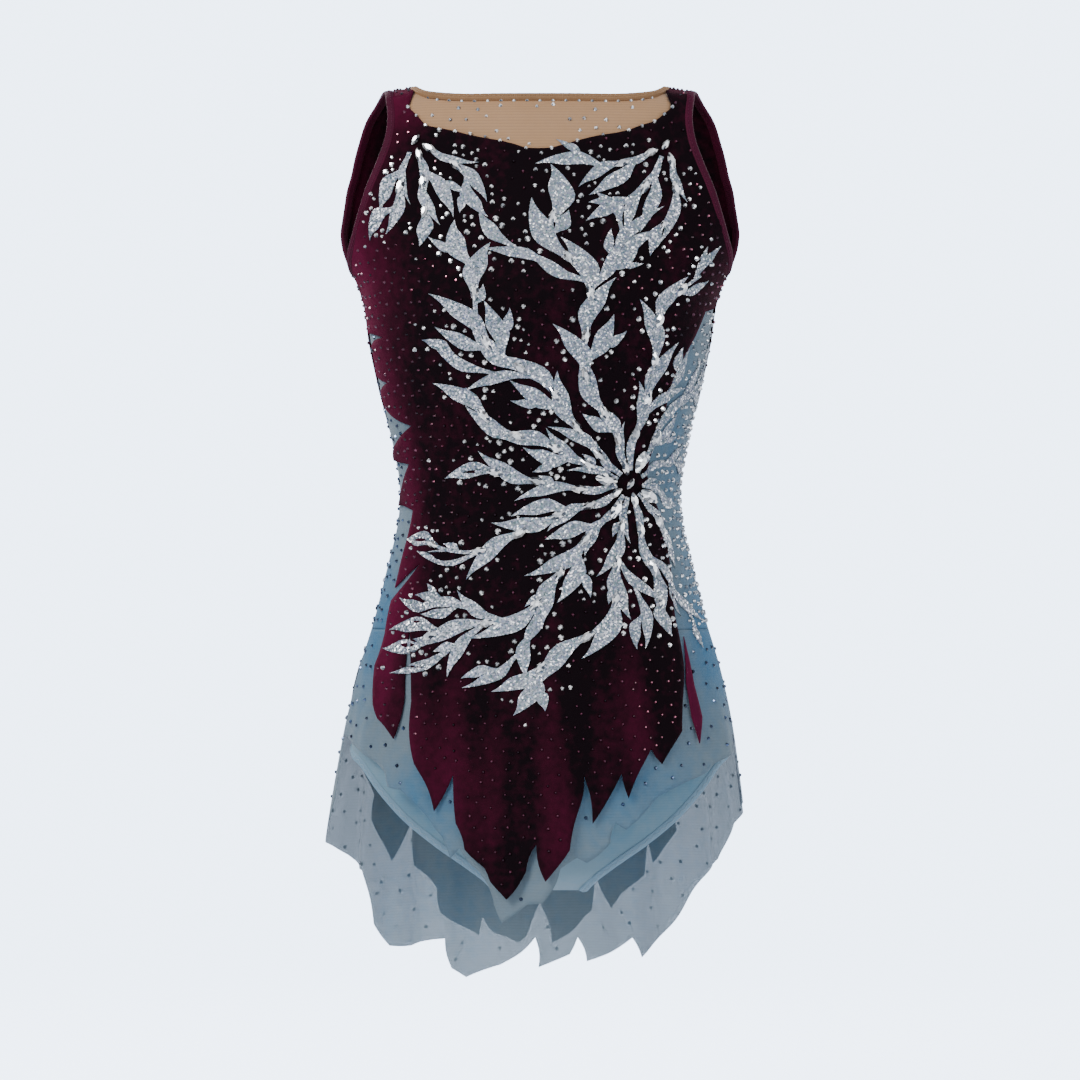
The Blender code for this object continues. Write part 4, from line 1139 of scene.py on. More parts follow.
@dataclass
class Spray:
    """One leaf spray of glitter fabric: rays of leaves that follow each other, branches and thorns.

    Attributes:
        node_name: the CAD node it stands for, and its own name stem.
        hub_angle: where its hub lies.
        hub_z: how high its hub lies.
        rays: bearing and length of each ray.
        seed: start of its random draws.
        ground: the cloth that it lies on.
        blades: outlines of all that is cut, flat about the hub.
        marks: what is covered, as point and radius.
        beside: where small stones may lie beside the leaves.
        seats: where large stones sit, with length and turn.
        runs: the rays and twigs.
    """

    node_name: str
    hub_angle: float
    hub_z: float
    rays: Sequence[Row]
    seed: int
    ground: Ground
    blades: list[list[Place]] = field(default_factory=list)
    marks: list[Triple] = field(default_factory=list)
    beside: list[Place] = field(default_factory=list)
    seats: list[Row] = field(default_factory=list)
    runs: list[Run] = field(default_factory=list)

    def __post_init__(self) -> None:
        """Grow the spray flat, in mm about its hub."""
        self.hub_v = SKIRT.v_of(self.hub_z)
        self.scale = SKIRT.per_degree((self.hub_angle, self.hub_v))
        self.random = random.Random(self.seed)
        self.seats.append((0.0, 0.0, HUB_SIZE, 0.6))
        for bearing, length in sorted(self.rays, key=lambda r: -r[1]):
            self.chain(Run((0.0, 0.0), bearing, length, RAY_BEND, 0))
        rays = list(self.runs)
        for run in rays:
            self.branches(run)
        for run in self.runs[len(rays):]:
            self.branches(run)
        for run in rays:
            self.thorns(run)

    def carried(self, points: Sequence[Row]) -> bool:
        """Whether flat points lie on the garment's cloth."""
        return self.ground.carries(*np.array([self.place(p[0], p[1]) for p in points]).T)

    def chain(self, run: Run) -> None:
        """Lay a ray or twig: a thin stem, and on it leaves that each start from a narrow neck."""
        ray = run.level == 0
        first = HUB_SIZE if ray else 0.0
        while run.length > 30 and not self.carried([run.along(s) for s in (0.7, 0.9, 1.05)]):
            run.length -= 6
        self.runs.append(run)
        length = run.length
        left: list[Place] = []
        right: list[Place] = []
        count = max(5, int(length / 6))
        for k in range(count + 1):
            share = (first + (length * 0.92 - first) * k / count) / length
            x, y, turned = run.along(share)
            wide = (1.9 if ray else 1.5) * (1 - 0.4 * share)
            left.append((x - wide * math.cos(turned), y + wide * math.sin(turned)))
            right.append((x + wide * math.cos(turned), y - wide * math.sin(turned)))
            self.marks.append((x, y, wide))
        self.blades.append(left + right[::-1])
        at, side = first, self.random.choice((-1, 1))
        while at < length * 0.93:
            x, y, turned = run.along(at / length)
            near = min(1.0, 0.42 + at / 95) if ray else 0.7
            reach = min(self.random.uniform(40, 56) * (0.55 + 0.45 * near), length - at + 16)
            heading = math.degrees(turned) + side * 8
            self.flame((x, y), heading, reach, 13.0 * near, -side * 20, 0.0)
            if ray and length > 56:
                self.seats.append((*run.along((at + 3) / length)[:2], min(15.0, reach * 0.36), turned))
            if at + reach > length * 0.9:
                for turn, part in ((30, 0.62), (-34, 0.5)):
                    self.flame((x, y), heading + turn, reach * part, 8.0 * near, -turn * 0.5, 0.8)
            at, side = at + reach * 0.6, -side

    def free(self, points: Sequence[Triple], start: Place, own: float, clear: float) -> bool:
        """Whether a new leaf's points lie clear of all that is laid, apart from its root."""
        laid = np.array(self.marks)
        laid = laid[np.hypot(laid[:, 0] - start[0], laid[:, 1] - start[1]) > own]
        for x, y, wide in points:
            if (np.hypot(laid[:, 0] - x, laid[:, 1] - y) < laid[:, 2] + wide + clear).any():
                return False
        return True

    def flame(
        self, start: Place, bearing: float, length: float, width: float, bend: float, clear: float
    ) -> bool:
        """Lay a flame leaf if there is cloth and room for it.

        Args:
            start: where it leaves its stem.
            bearing: its direction there, degrees.
            length: its length in mm.
            width: its widest, mm.
            bend: how far it turns over its length, degrees.
            clear: the gap it needs to what is laid, or 0 for none.

        Returns:
            Whether it was laid.
        """
        left: list[Place] = []
        right: list[Place] = []
        trial: list[Triple] = []
        for share, wide_a, wide_b in FLAME:
            turned = math.radians(bearing + bend * share**1.4)
            x, y = start[0] + length * share * math.sin(turned), start[1] + length * share * math.cos(turned)
            a, b = (wide_a, wide_b) if bend > 0 else (wide_b, wide_a)
            left.append((x - a * width / 2 * math.cos(turned), y + a * width / 2 * math.sin(turned)))
            right.append((x + b * width / 2 * math.cos(turned), y - b * width / 2 * math.sin(turned)))
            trial.append((x, y, (a + b) * width / 4))
        tested = [p for p, row in zip(trial, FLAME) if row[0] > 0.35]
        own = min(15.0, 0.5 * length)
        if not self.carried(tested) or clear and not self.free(tested, start, own, clear):
            return False
        self.marks += trial[2:]
        self.blades.append(left + right[::-1])
        for k in (3, 5, 7):
            x, y, wide = trial[k]
            grown = (wide + 2.9) / max(wide, 0.1)
            for edge in (left[k], right[k]):
                self.beside.append((x + (edge[0] - x) * grown, y + (edge[1] - y) * grown))
        return True

    def branches(self, run: Run) -> None:
        """Set leaves, forked ones and twigs along a run, on both sides in turn."""
        pick, ray, length = self.random, run.level == 0, run.length
        at, side = (26.0 if ray else 9.0), pick.choice((-1, 1))
        while at < length * 0.95:
            x, y, turned = run.along(at / length)
            heading = math.degrees(turned) + side * pick.uniform(32, 46)
            at += pick.uniform(7, 10) if ray else pick.uniform(6, 9)
            curl = -side * pick.uniform(12, 30)
            side = -side
            if ray and length > 100 and 0.28 * length < at < 0.85 * length and pick.random() < 0.55:
                twig = Run((x, y), heading, pick.uniform(48, 70), curl, 1)
                tests = [(*twig.along(s)[:2], 4.0) for s in (0.35, 0.55, 0.8, 1.1)]
                if self.carried(tests) and self.free(tests, (x, y), 15.0, 1.6):
                    self.chain(twig)
                    continue
            reach, width = (pick.uniform(34, 50), 12.5) if ray else (pick.uniform(20, 28), 8.6)
            for size in (1.0, 0.8, 0.62, 0.45):
                if self.flame((x, y), heading, reach * size, width * (0.45 + 0.55 * size), curl, 1.5):
                    root = math.radians(heading + 0.2 * curl)
                    arm = reach * size * 0.36
                    fork = (x + arm * math.sin(root), y + arm * math.cos(root))
                    way = 1 if curl < 0 else -1
                    self.flame(
                        fork, heading + way * 34, reach * size * 0.52, width * size * 0.55, -way * 18, 0.8)
                    break

    def thorns(self, run: Run) -> None:
        """Set short thorns in the gaps along a ray."""
        side, at = 1, 18.0
        while at < run.length * 0.9:
            x, y, turned = run.along(at / run.length)
            self.flame((x, y), math.degrees(turned) + side * 40, 15.0, 5.6, -side * 22, 0.8)
            at, side = at + 6.5, -side

    def place(self, x: float, y: float) -> Place:
        """A flat point as a place on the form."""
        return self.hub_angle + x / self.scale, self.hub_v - y

    def build(self, material: Material) -> None:
        """Cut the blades out of thin fabric and lay them on the velvet."""
        bm = bmesh.new()
        for number, outline in enumerate(self.blades):
            flat = bmesh.new()
            flat.faces.new([flat.verts.new((x, y, 0)) for x, y in outline])
            low = math.floor(min(y for _, y in outline) / BLADE_CUT) + 1
            for k in range(low, math.ceil(max(y for _, y in outline) / BLADE_CUT)):
                bmesh.ops.bisect_plane(
                    flat, geom=flat.verts[:] + flat.edges[:] + flat.faces[:], dist=1e-4,
                    plane_co=(0, k * BLADE_CUT, 0), plane_no=(0, 1, 0))
            bmesh.ops.triangulate(flat, faces=flat.faces[:], quad_method="BEAUTY", ngon_method="BEAUTY")
            for face in flat.faces:
                if face.normal.z < 0:
                    face.normal_flip()
            made = bmesh.ops.extrude_face_region(flat, geom=flat.faces[:])
            tops = {v for v in made["geom"] if isinstance(v, bmesh.types.BMVert)}
            verts = flat.verts[:]
            x, y = np.array([v.co.x for v in verts]), np.array([v.co.y for v in verts])
            degrees, v = self.hub_angle + x / self.scale, np.clip(self.hub_v - y, 0.3, SKIRT_END)
            base = self.ground.face(degrees, v) + 0.15 + 0.12 * (number % 5)
            lift = base + np.array([BLADE_WALL if vert in tops else 0.0 for vert in verts])
            for vert, point in zip(verts, SKIRT.lifted(degrees, v, lift)):
                vert.co = Vector(point) * MM
            bmesh.ops.recalc_face_normals(flat, faces=flat.faces)
            mesh = bpy.data.meshes.new("blade")
            flat.to_mesh(mesh)
            flat.free()
            bm.from_mesh(mesh)
            bpy.data.meshes.remove(mesh)
        store = bm.verts.layers.float.new("tone")
        for vert in bm.verts:
            vert[store] = 0.5
        made = add_object(f"{self.node_name}_leaves", bm, material, smooth=False)
        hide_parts(self.node_name)
        LOG.info("%s: %d blades, %d faces", made.name, len(self.blades), len(made.data.polygons))


@dataclass
class Gem:
    """Where a stone sits: place, lift, length, width, height, turn and the strength of its painted sparkle.
    """

    angle: float
    v: float
    lift: float
    length: float
    width: float
    height: float
    turn: float
    tone: float


def small_gem(place: Place, size: float, tone: float, above: float = 0.05, height: float = 0.45) -> Gem:
    """A round stone on velvet, a little above its face; its height is a share of its size."""
    return Gem(*place, velvet_face(*place) + above, size, size, size * height, 0.0, tone)


@dataclass(frozen=True)
class Setting:
    """A scattering of stones of one finish, joined in one piece."""

    name: str
    gems: list[Gem]
    segments: int = 8
    pointed: bool = False
    replaced: tuple[str, ...] = ()

    def template(self) -> bpy.types.Mesh:
        """One stone of unit size: a girdle, a crown of facets and a table."""
        bm = bmesh.new()
        bmesh.ops.create_cone(bm, cap_ends=True, segments=self.segments, radius1=1, radius2=0.48, depth=1)
        bmesh.ops.translate(bm, verts=bm.verts, vec=(0, 0, 0.5))
        girdle = [e for e in bm.edges if all(v.co.z < 0.1 for v in e.verts)]
        bmesh.ops.bevel(bm, geom=girdle, offset=0.16, affect="EDGES", segments=1, profile=0.5, material=-1)
        if self.pointed:
            for vert in bm.verts:
                vert.co.y *= 1 - 0.42 * abs(vert.co.x) ** 1.5
        mesh = bpy.data.meshes.new("stone")
        bm.to_mesh(mesh)
        bm.free()
        return mesh

    def build(self, material: Material) -> None:
        """Set every stone on the cloth, each facet with its own painted flash: a painted reflection, bright
        on the table and none on the low girdle faces, which are painted dark.
        """
        template = self.template()
        shape = np.array([v.co for v in template.vertices])
        faces = len(template.polygons)
        heights = [p.center.z for p in template.polygons]
        # painted reflections: each facet gets a strength, 0.86 on the table and 0 on the girdle, which is
        # painted dark; with the stone's tone it is stored as tone
        flash = 0.06 + 0.94 * np.sin(np.arange(faces * len(self.gems)) * FACET_TURN) ** 2
        flash[max(range(faces), key=lambda n: heights[n])::faces] = 0.86
        for low in (n for n in range(faces) if heights[n] < 0.2):
            flash[low::faces] = 0.0
        degrees, v = np.array([(g.angle, g.v) for g in self.gems]).T
        points = SKIRT.lifted(degrees, v, np.array([g.lift for g in self.gems]))
        normals = SKIRT.normals(degrees, v)
        by_angle, _ = SKIRT.slopes(degrees, v)
        right = by_angle - normals * (by_angle * normals).sum(1)[:, None]
        right /= np.linalg.norm(right, axis=1)[:, None]
        up = np.cross(right, normals)
        up *= np.where(up[:, 2] < 0, -1, 1)[:, None]
        turns = np.array([g.turn for g in self.gems])[:, None]
        along = right * np.sin(turns) + up * np.cos(turns)
        across = np.cross(normals, along)
        bm = bmesh.new()
        for k, gem in enumerate(self.gems):
            axes = np.array((along[k] * gem.length / 2, across[k] * gem.width / 2, normals[k] * gem.height))
            template.vertices.foreach_set("co", ((shape @ axes + points[k]) * MM).ravel())
            bm.from_mesh(template)
        bmesh.ops.recalc_face_normals(bm, faces=bm.faces)
        bpy.data.meshes.remove(template)
        made = add_object(self.name, bm, material, smooth=False)
        tones = made.data.attributes.new("tone", "FLOAT", "FACE")
        tones.data.foreach_set("value", np.repeat([g.tone for g in self.gems], faces) * flash)
        if self.replaced:
            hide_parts(*self.replaced)
        LOG.info("%s: %d stones, %d faces", made.name, len(self.gems), len(made.data.polygons))


@dataclass
class Jeweller:
    """Lays out the stones on the panels, clear of leaves and edges."""

    seed: int = 7
    taken: list[Triple] = field(default_factory=list)

    def __post_init__(self) -> None:
        """Start the random draws."""
        self.random = random.Random(self.seed)

    @staticmethod
    def clear(angle: float, v: float, radius: float, laid: Array) -> bool:
        """Whether a stone fits at a place."""
        near = laid[abs(laid[:, 1] - v) < 14]
        off = counted_from(near[:, 0], angle) * CHART_SCALE
        return not (np.hypot(off, near[:, 1] - v) < near[:, 2] + radius).any()

    def scatter(
        self, outlines: Sequence[Sequence[Place]], holes: Sequence[Sequence[Place]], spacing: float,
        size: float, lift: Callable[[float, float], float], margin: float = 3.5,
    ) -> list[Gem]:
        """Stones in an uneven field over some outlines, left out over others.

        Args:
            outlines: the panels that carry them.
            holes: what covers parts of those panels.
            spacing: from stone to stone, mm.
            size: their diameter, mm.
            lift: lift of the cloth's face at angle and v.
            margin: how far they stay from an edge.

        Returns:
            The stones.
        """
        gems: list[Gem] = []
        for outline in outlines:
            shape = charted(outline)
            low, high = shape.min(0), shape.max(0)
            spots: list[Place] = []
            row, y = 0, low[1]
            while y < high[1]:
                x = low[0] + (spacing / 2 if row % 2 else 0)
                while x < high[0]:
                    spots.append((x + self.random.uniform(-0.24, 0.24) * spacing,
                                  y + self.random.uniform(-0.24, 0.24) * spacing))
                    x += spacing
                y, row = y + spacing * ROW_SHARE, row + 1
            x, y = np.array(spots).T
            keep = inside(shape, x, y) & (edge_distance(shape, x, y) > margin)
            for hole in holes:
                for turn in TURNS:
                    shifted = charted(hole) + np.array((turn, 0))
                    keep &= ~inside(shifted, x, y) & (edge_distance(shifted, x, y) > margin * 0.7)
            laid = np.array(self.taken)
            for px, py in zip(x[keep], y[keep]):
                angle = px / CHART_SCALE
                if self.clear(angle % 360, py, size / 2 + 0.6, laid):
                    grown = size * self.random.uniform(0.85, 1.15)
                    gems.append(Gem(angle, py, lift(angle, py), grown, grown, grown * 0.42,
                                    self.random.uniform(0, 3.14), self.random.random()))
        return gems

    def take(self, gems: Sequence[Gem]) -> None:
        """Count these stones as laid."""
        self.taken += [(g.angle % 360, g.v, max(g.length, g.width) / 2) for g in gems]

    def fitted(self, gems: Sequence[Gem]) -> list[Gem]:
        """Those of some stones that don't run into each other or into what is laid."""
        out: list[Gem] = []
        used = len(self.taken)
        laid = np.zeros((used + len(gems), 3))
        laid[:used] = self.taken
        for gem in gems:
            radius = gem.width / 2
            if self.clear(gem.angle % 360, gem.v, radius + 0.3, laid[:used]):
                out.append(gem)
                laid[used] = (gem.angle % 360, gem.v, radius)
                used += 1
        return out


def velvet_face(angle: float, v: float) -> float:
    """Lift of the velvet's outer face."""
    return float(velvet_base(np.array([angle]), np.array([v]))[0]) + VELVET_WALL


def net_face(angle: float, v: float) -> float:
    """Lift of the net's outer face."""
    return NET_FACE


@dataclass
class Leotard:
    """The whole garment: cut panels, bindings, sprays and stones."""

    edges: Edges = field(default_factory=Edges)
    effects: Effects = field(default_factory=Effects)
    outlines: dict[str, list[Place]] = field(default_factory=dict)

    def __post_init__(self) -> None:
        """Draw the cut pieces."""
        e = self.edges
        arm_f, arm_b = spread(e.arm_front, 5), spread(e.arm_back, 5)
        neck_f, neck_b = e.neck_front, e.neck_back
        shoulder = spread(neck_b[:4], 5)
        side_v = SKIRT.v_of(SIDE_MEET)
        jagged = hand_cut(front_places(FRONT_LEFT[::-1] + FRONT_HEM[::-1] + FRONT_RIGHT[::-1]))
        top = hand_cut(front_places(FRONT_TOP[::-1]), 0.03)
        edge = hand_cut(back_places(BACK_LEFT + BACK_HEM + BACK_RIGHT))
        thorns = hand_cut(back_places(BACK_TOP_RIGHT + BACK_TOP_LEFT), 0.04)
        yoke_top = spread(neck_f[:-1], 6)
        inset_top = spread(neck_b[2:], 6)
        hip_v, brief_v = SKIRT.v_of(HIP_SEAM) + 0.4, TORSO.v_of(BRIEF_TOP)
        front_v, back_v = SKIRT.v_of(NET_SIDE_FRONT), SKIRT.v_of(NET_SIDE_BACK)
        hem_f, hem_b = hand_cut(front_places(NET_HEM_FRONT), 0.06), hand_cut(back_places(NET_HEM_BACK), 0.06)
        leg_f, leg_b = spread(e.leg_front, 6), spread(e.leg_back, 6)
        near, far, beyond = FRONT_SIDE, BACK_SIDE, OTHER_SIDE
        self.outlines = {
            "front_velvet": [
                *arm_f, (near, side_v), *jagged, (-near, side_v), *mirrored(arm_f[::-1]),
                *mirrored(neck_f[:-3:-1]), *top, *neck_f[-2:]],
            "back_velvet": [
                *arm_b[::-1], (far, side_v + 8), *edge, (beyond, side_v + 8), *mirrored(arm_b, BACK_CENTRE),
                *mirrored(shoulder, BACK_CENTRE), *thorns, *shoulder[::-1]],
            "front_yoke": [*yoke_top, *front_places(YOKE_LOW[::-1]), *mirrored(yoke_top[:0:-1])],
            "back_inset": [*inset_top, *mirrored(inset_top[-2::-1], BACK_CENTRE), *back_places(INSET)],
            "side_panel_left": front_places(SIDE_LEFT_FRONT) + back_places(SIDE_LEFT_BACK),
            "side_panel_right": front_places(SIDE_RIGHT_FRONT) + back_places(SIDE_RIGHT_BACK, -360.0),
            "net_skirt_front": [(-near, hip_v), (-near, front_v), *hem_f, (near, front_v), (near, hip_v)],
            "net_skirt_back": [(far, hip_v), (far, back_v), *hem_b, (beyond, back_v), (beyond, hip_v)],
            "hip_petal_dark": back_places(HIP_DARK),
            "hip_petal_crimson": back_places(HIP_CRIMSON),
            "hip_petal_front": front_places(HIP_FRONT),
            "brief_front": [(near, brief_v), *leg_f, *mirrored(leg_f[::-1]), (-near, brief_v)],
            "brief_back": [
                (far, brief_v), *leg_b[::-1], *mirrored(leg_b, BACK_CENTRE), (beyond, brief_v)],
        }

    def cloth(self) -> None:
        """Cut and hang every panel."""
        # the wine velvet's second colour is the painted crimson sheen; the crimson velvet's colours are its
        # own
        wine = Velvet(
            "wine_velvet", (0.0035, 0.0006, 0.0018), (0.105, 0.003, 0.026), (0.5, 0.02, 0.12), 0.16)
        crimson = Velvet(
            "crimson_velvet", (0.03, 0.0015, 0.01), (0.14, 0.005, 0.038), (0.6, 0.04, 0.16), 0.22)
        blue = Net("blue_net", (0.19, 0.245, 0.275), (0.015, 0.155, 0.29), 0.46, 0.86)
        brief = Net("brief_net", (0.20, 0.30, 0.35), (0.04, 0.21, 0.34), 0.75, 1.0)
        nude = Net("nude_net", (0.47, 0.255, 0.12), (0.53, 0.295, 0.145), 0.82, 1.0, 620.0, 0.5)
        dark, red, dyed, skin, pants = (
            Cloth(finish.material(self.effects), *worn) for finish, *worn in (
                (wine, "velvet", SKIRT, velvet_base, VELVET_WALL),
                (crimson, "crimson_velvet", SKIRT, velvet_base, VELVET_WALL),
                (blue, "blue_net", SKIRT, NET_LIFT, NET_WALL), (nude, "nude_net", TORSO, NET_LIFT, NET_WALL),
                (brief, "blue_net", TORSO, BRIEF_LIFT, NET_WALL)))
        hung, held = Hold.HUNG, Hold.STRETCHED
        for panel in (
            Panel("front_velvet", dark, velvet_painted_sheen, held, "neck_binding_elastic", 3.7),
            Panel("back_velvet", dark, velvet_painted_sheen, held, "neck_binding_elastic", 3.7),
            Panel("front_yoke", skin, even_tone, held, "neck_binding_elastic", 3.2),
            Panel("back_inset", skin, even_tone, held, "neck_binding_elastic", 3.6),
            Panel("side_panel_left", dyed, dye_tone, held, "front_velvet_cloth", 3.6),
            Panel("side_panel_right", dyed, dye_tone, held, "front_velvet_cloth", 3.6),
            Panel("net_skirt_front", dyed, dye_tone, hung, "front_velvet_cloth", 3.4),
            Panel("net_skirt_back", dyed, dye_tone, hung, "back_velvet_cloth", 3.4),
            Panel("hip_petal_dark", dark, velvet_painted_sheen, hung, "net_skirt_back_cloth", 2.4),
            Panel("hip_petal_crimson", red, even_tone, hung, "net_skirt_back_cloth", 2.4),
            Panel("hip_petal_front", red, even_tone, hung, "net_skirt_front_cloth", 2.4),
            Panel("brief_front", pants, dye_tone, held, "leg_binding_left_elastic", 4.2),
            Panel("brief_back", pants, dye_tone, held, "leg_binding_left_elastic", 4.2),
        ):
            panel.build(self.outlines[panel.node])

    def bindings(self) -> None:
        """Bind the free edges."""
        nude, wine, blue, nude_thread, wine_thread, blue_thread = (
            elastic.material(self.effects) for elastic in (
                Elastic("nude_elastic", (0.43, 0.235, 0.115), (0.26, 0.135, 0.062)),
                Elastic("wine_elastic", (0.12, 0.005, 0.034), (0.035, 0.0015, 0.01), 0.1),
                Elastic("blue_elastic", (0.30, 0.42, 0.50), (0.16, 0.26, 0.33)),
                Elastic("nude_thread", (0.55, 0.34, 0.19), (0.42, 0.25, 0.13)),
                Elastic("wine_thread", (0.16, 0.02, 0.06), (0.08, 0.01, 0.03)),
                Elastic("blue_thread", (0.45, 0.56, 0.62), (0.3, 0.4, 0.46))))
        e = self.edges
        Binding("neck_binding", e.neck, -0.2, 3.5, (2.0, 4.9)).build(nude, nude_thread, "nude_binding")
        for side, flip in (("left", False), ("right", True)):
            arm = Binding(f"armhole_binding_{side}", e.arm, -0.2, 3.5, (4.6,), flip=flip)
            arm.build(wine, wine_thread, "wine_binding")
        for side, flip in (("left", False), ("right", True)):
            leg = Binding(f"leg_binding_{side}", e.leg, -2.4, 0.1, (3.6,), zigzag=True, flip=flip)
            leg.build(blue, blue_thread, "blue_net")

    def applique(self) -> list[Spray]:
        """Lay the glitter sprays."""
        glitter = Glitter().material(self.effects)
        flat = {name: charted(outline) for name, outline in self.outlines.items()}
        nets = ("side_panel_left", "side_panel_right", "back_inset", "front_yoke", "net_skirt_front",
                "net_skirt_back")
        edges = self.edges.arm_front + self.edges.arm_back + self.edges.neck_front + self.edges.neck_back
        ground = Ground(
            [flat[name] for name in VELVETS], [flat[name] for name in nets], charted(edges + mirrored(edges)))
        sprays = [
            Spray(name, angle, z, rays, seed, ground)
            for seed, (name, (angle, z, rays)) in enumerate(SPRAYS.items(), 3)]
        for spray in sprays:
            spray.build(glitter)
        return sprays

    def stones(self, sprays: list[Spray]) -> None:
        """Set the stones: large ones, clear ones by the leaves, wine on velvet, dark blue on net."""
        # each crystal's light colour is its painted reflection, and the clear stones glow with a painted
        # glint
        clear, wine, blue = (
            crystal.material(self.effects) for crystal in (
                Crystal("clear_crystal", (0.07, 0.09, 0.12), (1.0, 1.0, 1.0), 2.2),
                Crystal("wine_crystal", (0.02, 0.002, 0.008), (0.50, 0.12, 0.20), metallic=0.85),
                Crystal("blue_crystal", (0.004, 0.008, 0.03), (0.16, 0.27, 0.50))))
        pick = random.Random(21)
        by_name = {s.node_name: s for s in sprays}
        large: list[Gem] = []
        for hub, bearing, distance, length in STONES:
            turned = math.radians(bearing)
            place = by_name[hub].place(distance * math.sin(turned), distance * math.cos(turned))
            large.append(Gem(*place, velvet_face(*place) + 1.7, length, length * 0.5, 4.6, turned, 1.0))
        Setting("large_stones", large, 14, True, tuple(f"set_stone_{n}" for n in range(1, 9))).build(clear)

        bench = Jeweller()
        bench.take(large)
        seated: list[Gem] = []
        for spray in sprays:
            for x, y, length, turned in spray.seats:
                place, tone = spray.place(x, y), pick.uniform(0.7, 1)
                lift = velvet_face(*place) + 1.15
                seated.append(Gem(*place, lift, length, length * 0.47, 3.2, turned, tone))
        seated = bench.fitted(self.on_velvet(seated))
        for spray in sprays:
            covered = [(*spray.place(x, y), wide) for x, y, wide in spray.marks]
            bench.taken += [(a % 360, v, wide) for a, v, wide in covered]
        bench.take(seated)
        beside: list[Gem] = []
        halo: list[Gem] = []
        for spray in sprays:
            times, chance = (1, 0.4) if spray.node_name in WAIST_SPRAYS else (3, 0.8)
            for x, y in spray.beside:
                if pick.random() >= 0.3:
                    beside.append(small_gem(spray.place(x, y), pick.uniform(3.4, 5.6), pick.uniform(0.6, 1)))
            for x, y, _ in spray.marks:
                for _ in range(times):
                    if pick.random() < chance:
                        place = spray.place(x + pick.uniform(-15, 15), y + pick.uniform(-15, 15))
                        halo.append(small_gem(place, pick.uniform(2.6, 4.6), pick.uniform(0.5, 1)))
        beside = bench.fitted(self.on_velvet(beside))
        bench.take(beside)
        halo = bench.fitted(self.on_velvet([g for g in halo if g.v > 3]))
        bench.take(halo)
        nude = self.nude_stones(bench, pick)
        front, back = (self.outlines[name] for name in VELVETS)
        side = bench.scatter([self.outlines["side_panel_left"]], [front, back], 8.5, 3.6, net_face)
        for gem in side:
            gem.tone = 0.35 + 0.65 * gem.tone
        Setting("clear_stones", beside + halo + nude + side).build(clear)
        Setting("pointed_stones", seated, 10, True).build(clear)
        Setting("wine_stones", bench.scatter([front, back], [], 10.0, 2.8, velvet_face), 6).build(wine)
        covers = [front, [(a - 360, v) for a, v in back]]
        blues = bench.scatter([self.outlines["side_panel_right"]], covers, 13, 3.2, net_face)
        skirts = [self.outlines["net_skirt_front"], self.outlines["net_skirt_back"]]
        blues += bench.scatter(skirts, [front, back], 17, 3.4, net_face)
        Setting("blue_stones", blues, 6).build(blue)

    def nude_stones(self, bench: Jeweller, pick: random.Random) -> list[Gem]:
        """Stones on the nude net: a row along the front neck, the V and thorns edged, a few loose."""
        front, back = (self.outlines[name] for name in VELVETS)
        out: list[Gem] = []
        for a, v in spread(self.edges.neck_front[:-2], 9):
            for side in (1, -1):
                out.append(Gem(side * a, v + 2.5, NET_FACE, 3.6, 3.6, 1.5, 0, pick.uniform(0.5, 1)))
        rim = hand_cut(back_places(BACK_TOP_RIGHT + BACK_TOP_LEFT), 0.04, 7.0)
        rim += hand_cut(front_places(FRONT_TOP), 0.03, 8.0)
        for place in rim:
            out.append(small_gem(place, pick.uniform(2.6, 3.8), pick.uniform(0.4, 1), 0.02, 0.42))
        out = bench.fitted(out)
        bench.take(out)
        more = bench.scatter([self.outlines["back_inset"]], [back], 15, 3.4, net_face, 2.6)
        more += bench.scatter([self.outlines["front_yoke"]], [front], 11, 3.2, net_face, 2.2)
        more = [g for g in more if pick.random() < 0.7]
        for gem in more:
            gem.tone = 0.4 + 0.6 * gem.tone
        bench.take(more)
        return out + more

    def on_velvet(self, gems: Sequence[Gem]) -> list[Gem]:
        """Those of some stones that lie on the front or back velvet."""
        x, y = charted([(g.angle, g.v) for g in gems]).T
        held = np.zeros(x.shape, bool)
        for name in VELVETS:
            shape = charted(self.outlines[name])
            for turn in TURNS:
                held |= inside(shape, x + turn, y) & (edge_distance(shape, x + turn, y) > 1.2)
        return [g for g, kept in zip(gems, held) if kept]


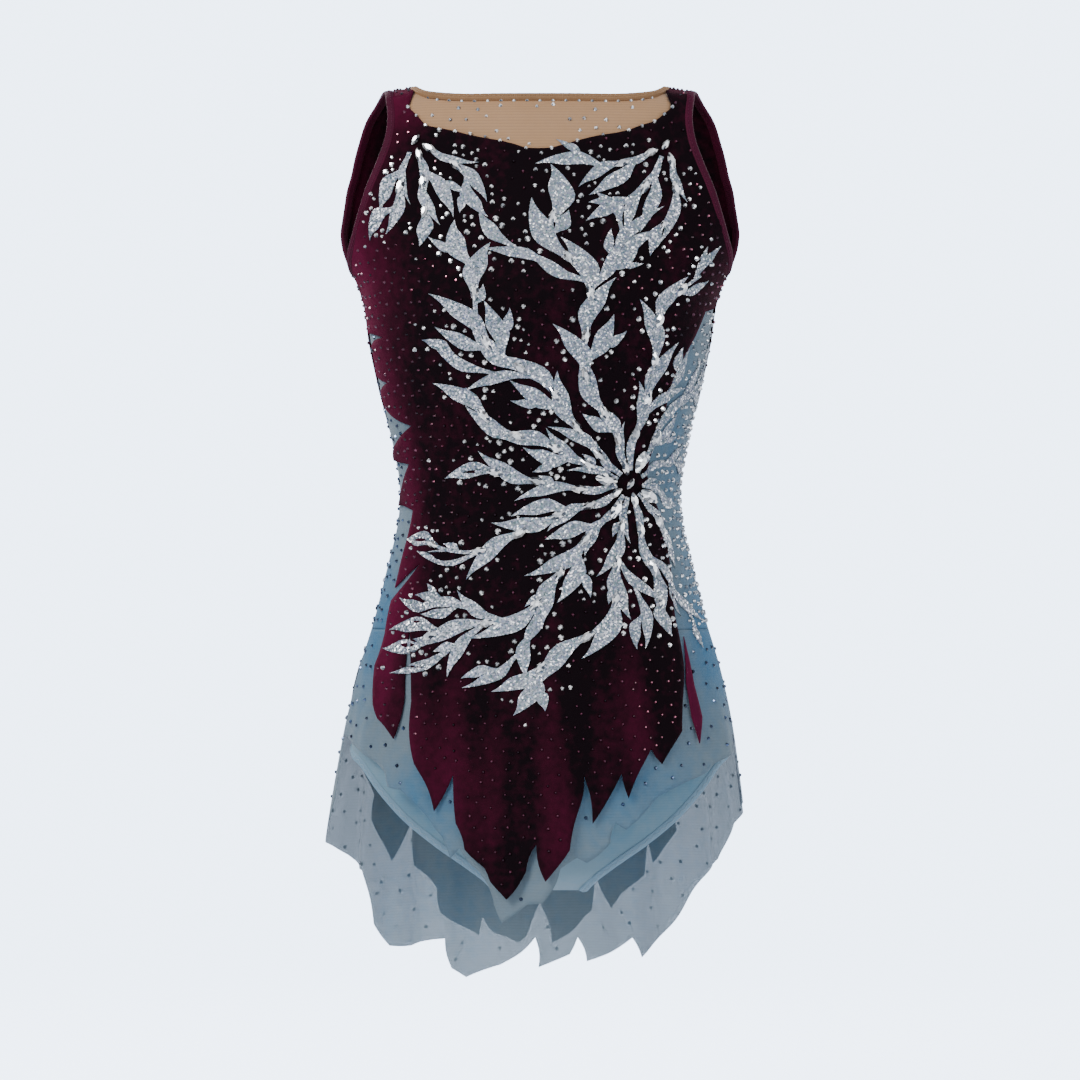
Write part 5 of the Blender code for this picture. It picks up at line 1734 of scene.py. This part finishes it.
@dataclass(frozen=True)
class Studio:
    """Plain pale floor, soft light and the camera."""

    centre: Triple = (0.0, 0.0, -0.358)
    distance: float = 3.4
    frame_height: float = 0.86
    ambient: float = 0.55
    backdrop: float = 6.0
    pale: tuple[float, float, float, float] = (0.67, 0.80, 1.0, 1)

    def build(self) -> None:
        """Set up floor, world, lights and camera."""
        self.room()
        self.floor()
        self.light("key", (-1.5, -1.9, 1.1), 1.1, 52.0)
        self.light("fill", (1.9, -1.3, 0.3), 1.4, 14.0)
        self.light("behind_left", (-1.3, 1.7, 0.9), 1.0, 30.0)
        self.light("behind_right", (1.6, 1.5, 0.7), 1.2, 22.0)
        camera = bpy.data.cameras.new("camera")
        camera.sensor_fit = "AUTO"
        camera.sensor_width = 36.0
        camera.lens = camera.sensor_width * self.distance / self.frame_height
        eye = self.placed("camera", camera)
        eye.location = (self.centre[0], self.centre[1] - self.distance, self.centre[2])
        eye.rotation_euler = (math.radians(90), 0, 0)
        bpy.context.scene.camera = eye

    def room(self) -> None:
        """Light the room all round, brighter where the camera sees it."""
        world = bpy.data.worlds.new("pale_room")
        world.use_nodes = True
        tree = world.node_tree
        seen = node(tree, "LightPath").outputs["Is Camera Ray"]
        strength = between(tree, seen, self.ambient, self.backdrop)
        feed(tree, tree.nodes["Background"], {0: self.pale, 1: strength})
        bpy.context.scene.world = world

    def floor(self) -> None:
        """Lay a round floor that fades into the room."""
        bm = bmesh.new()
        bmesh.ops.create_circle(bm, cap_ends=True, segments=96, radius=3.0)
        bmesh.ops.translate(bm, verts=bm.verts, vec=(0, 0, -0.86))
        mesh = bpy.data.meshes.new("floor")
        bm.to_mesh(mesh)
        bm.free()
        made, tree, shader = blank("pale_floor")
        where = coordinates(tree)
        far = node(tree, "VectorMath", {0: where}, operation="LENGTH").outputs["Value"]
        ends = {"Value": far, "From Min": 0.9, "From Max": 2.1, "To Min": 1.0, "To Max": 0.0}
        colour = mix_colour(tree, noise(tree, where, 3.0, 2.0), (0.84, 0.88, 0.95, 1), (0.86, 0.9, 0.97, 1))
        glow = between(tree, node(tree, "LightPath").outputs["Is Camera Ray"], 0.0, self.backdrop - 0.9)
        feed(tree, shader, {
            "Base Color": colour, "Roughness": 0.9, "Emission Color": self.pale, "Emission Strength": glow,
            "Alpha": node(tree, "MapRange", ends, interpolation_type="SMOOTHSTEP").outputs[0],
        })
        mesh.materials.append(made)
        self.placed("floor", mesh)

    def light(self, name: str, place: Triple, size: float, power: float) -> None:
        """Add a soft square light aimed at the garment."""
        lamp = bpy.data.lights.new(name, "AREA")
        lamp.size = size
        lamp.energy = power
        made = self.placed(name, lamp)
        made.location = place
        made.rotation_euler = (Vector(self.centre) - Vector(place)).to_track_quat("-Z", "Y").to_euler()

    @staticmethod
    def placed(name: str, data: bpy.types.ID) -> bpy.types.Object:
        """Put an object of some data in the scene."""
        made = bpy.data.objects.new(name, data)
        bpy.context.scene.collection.objects.link(made)
        return made


def main() -> None:
    """Build the scene in order."""
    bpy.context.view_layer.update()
    garment = Leotard()
    garment.cloth()
    garment.bindings()
    garment.stones(garment.applique())
    Studio().build()


if __name__ == "__main__":
    main()
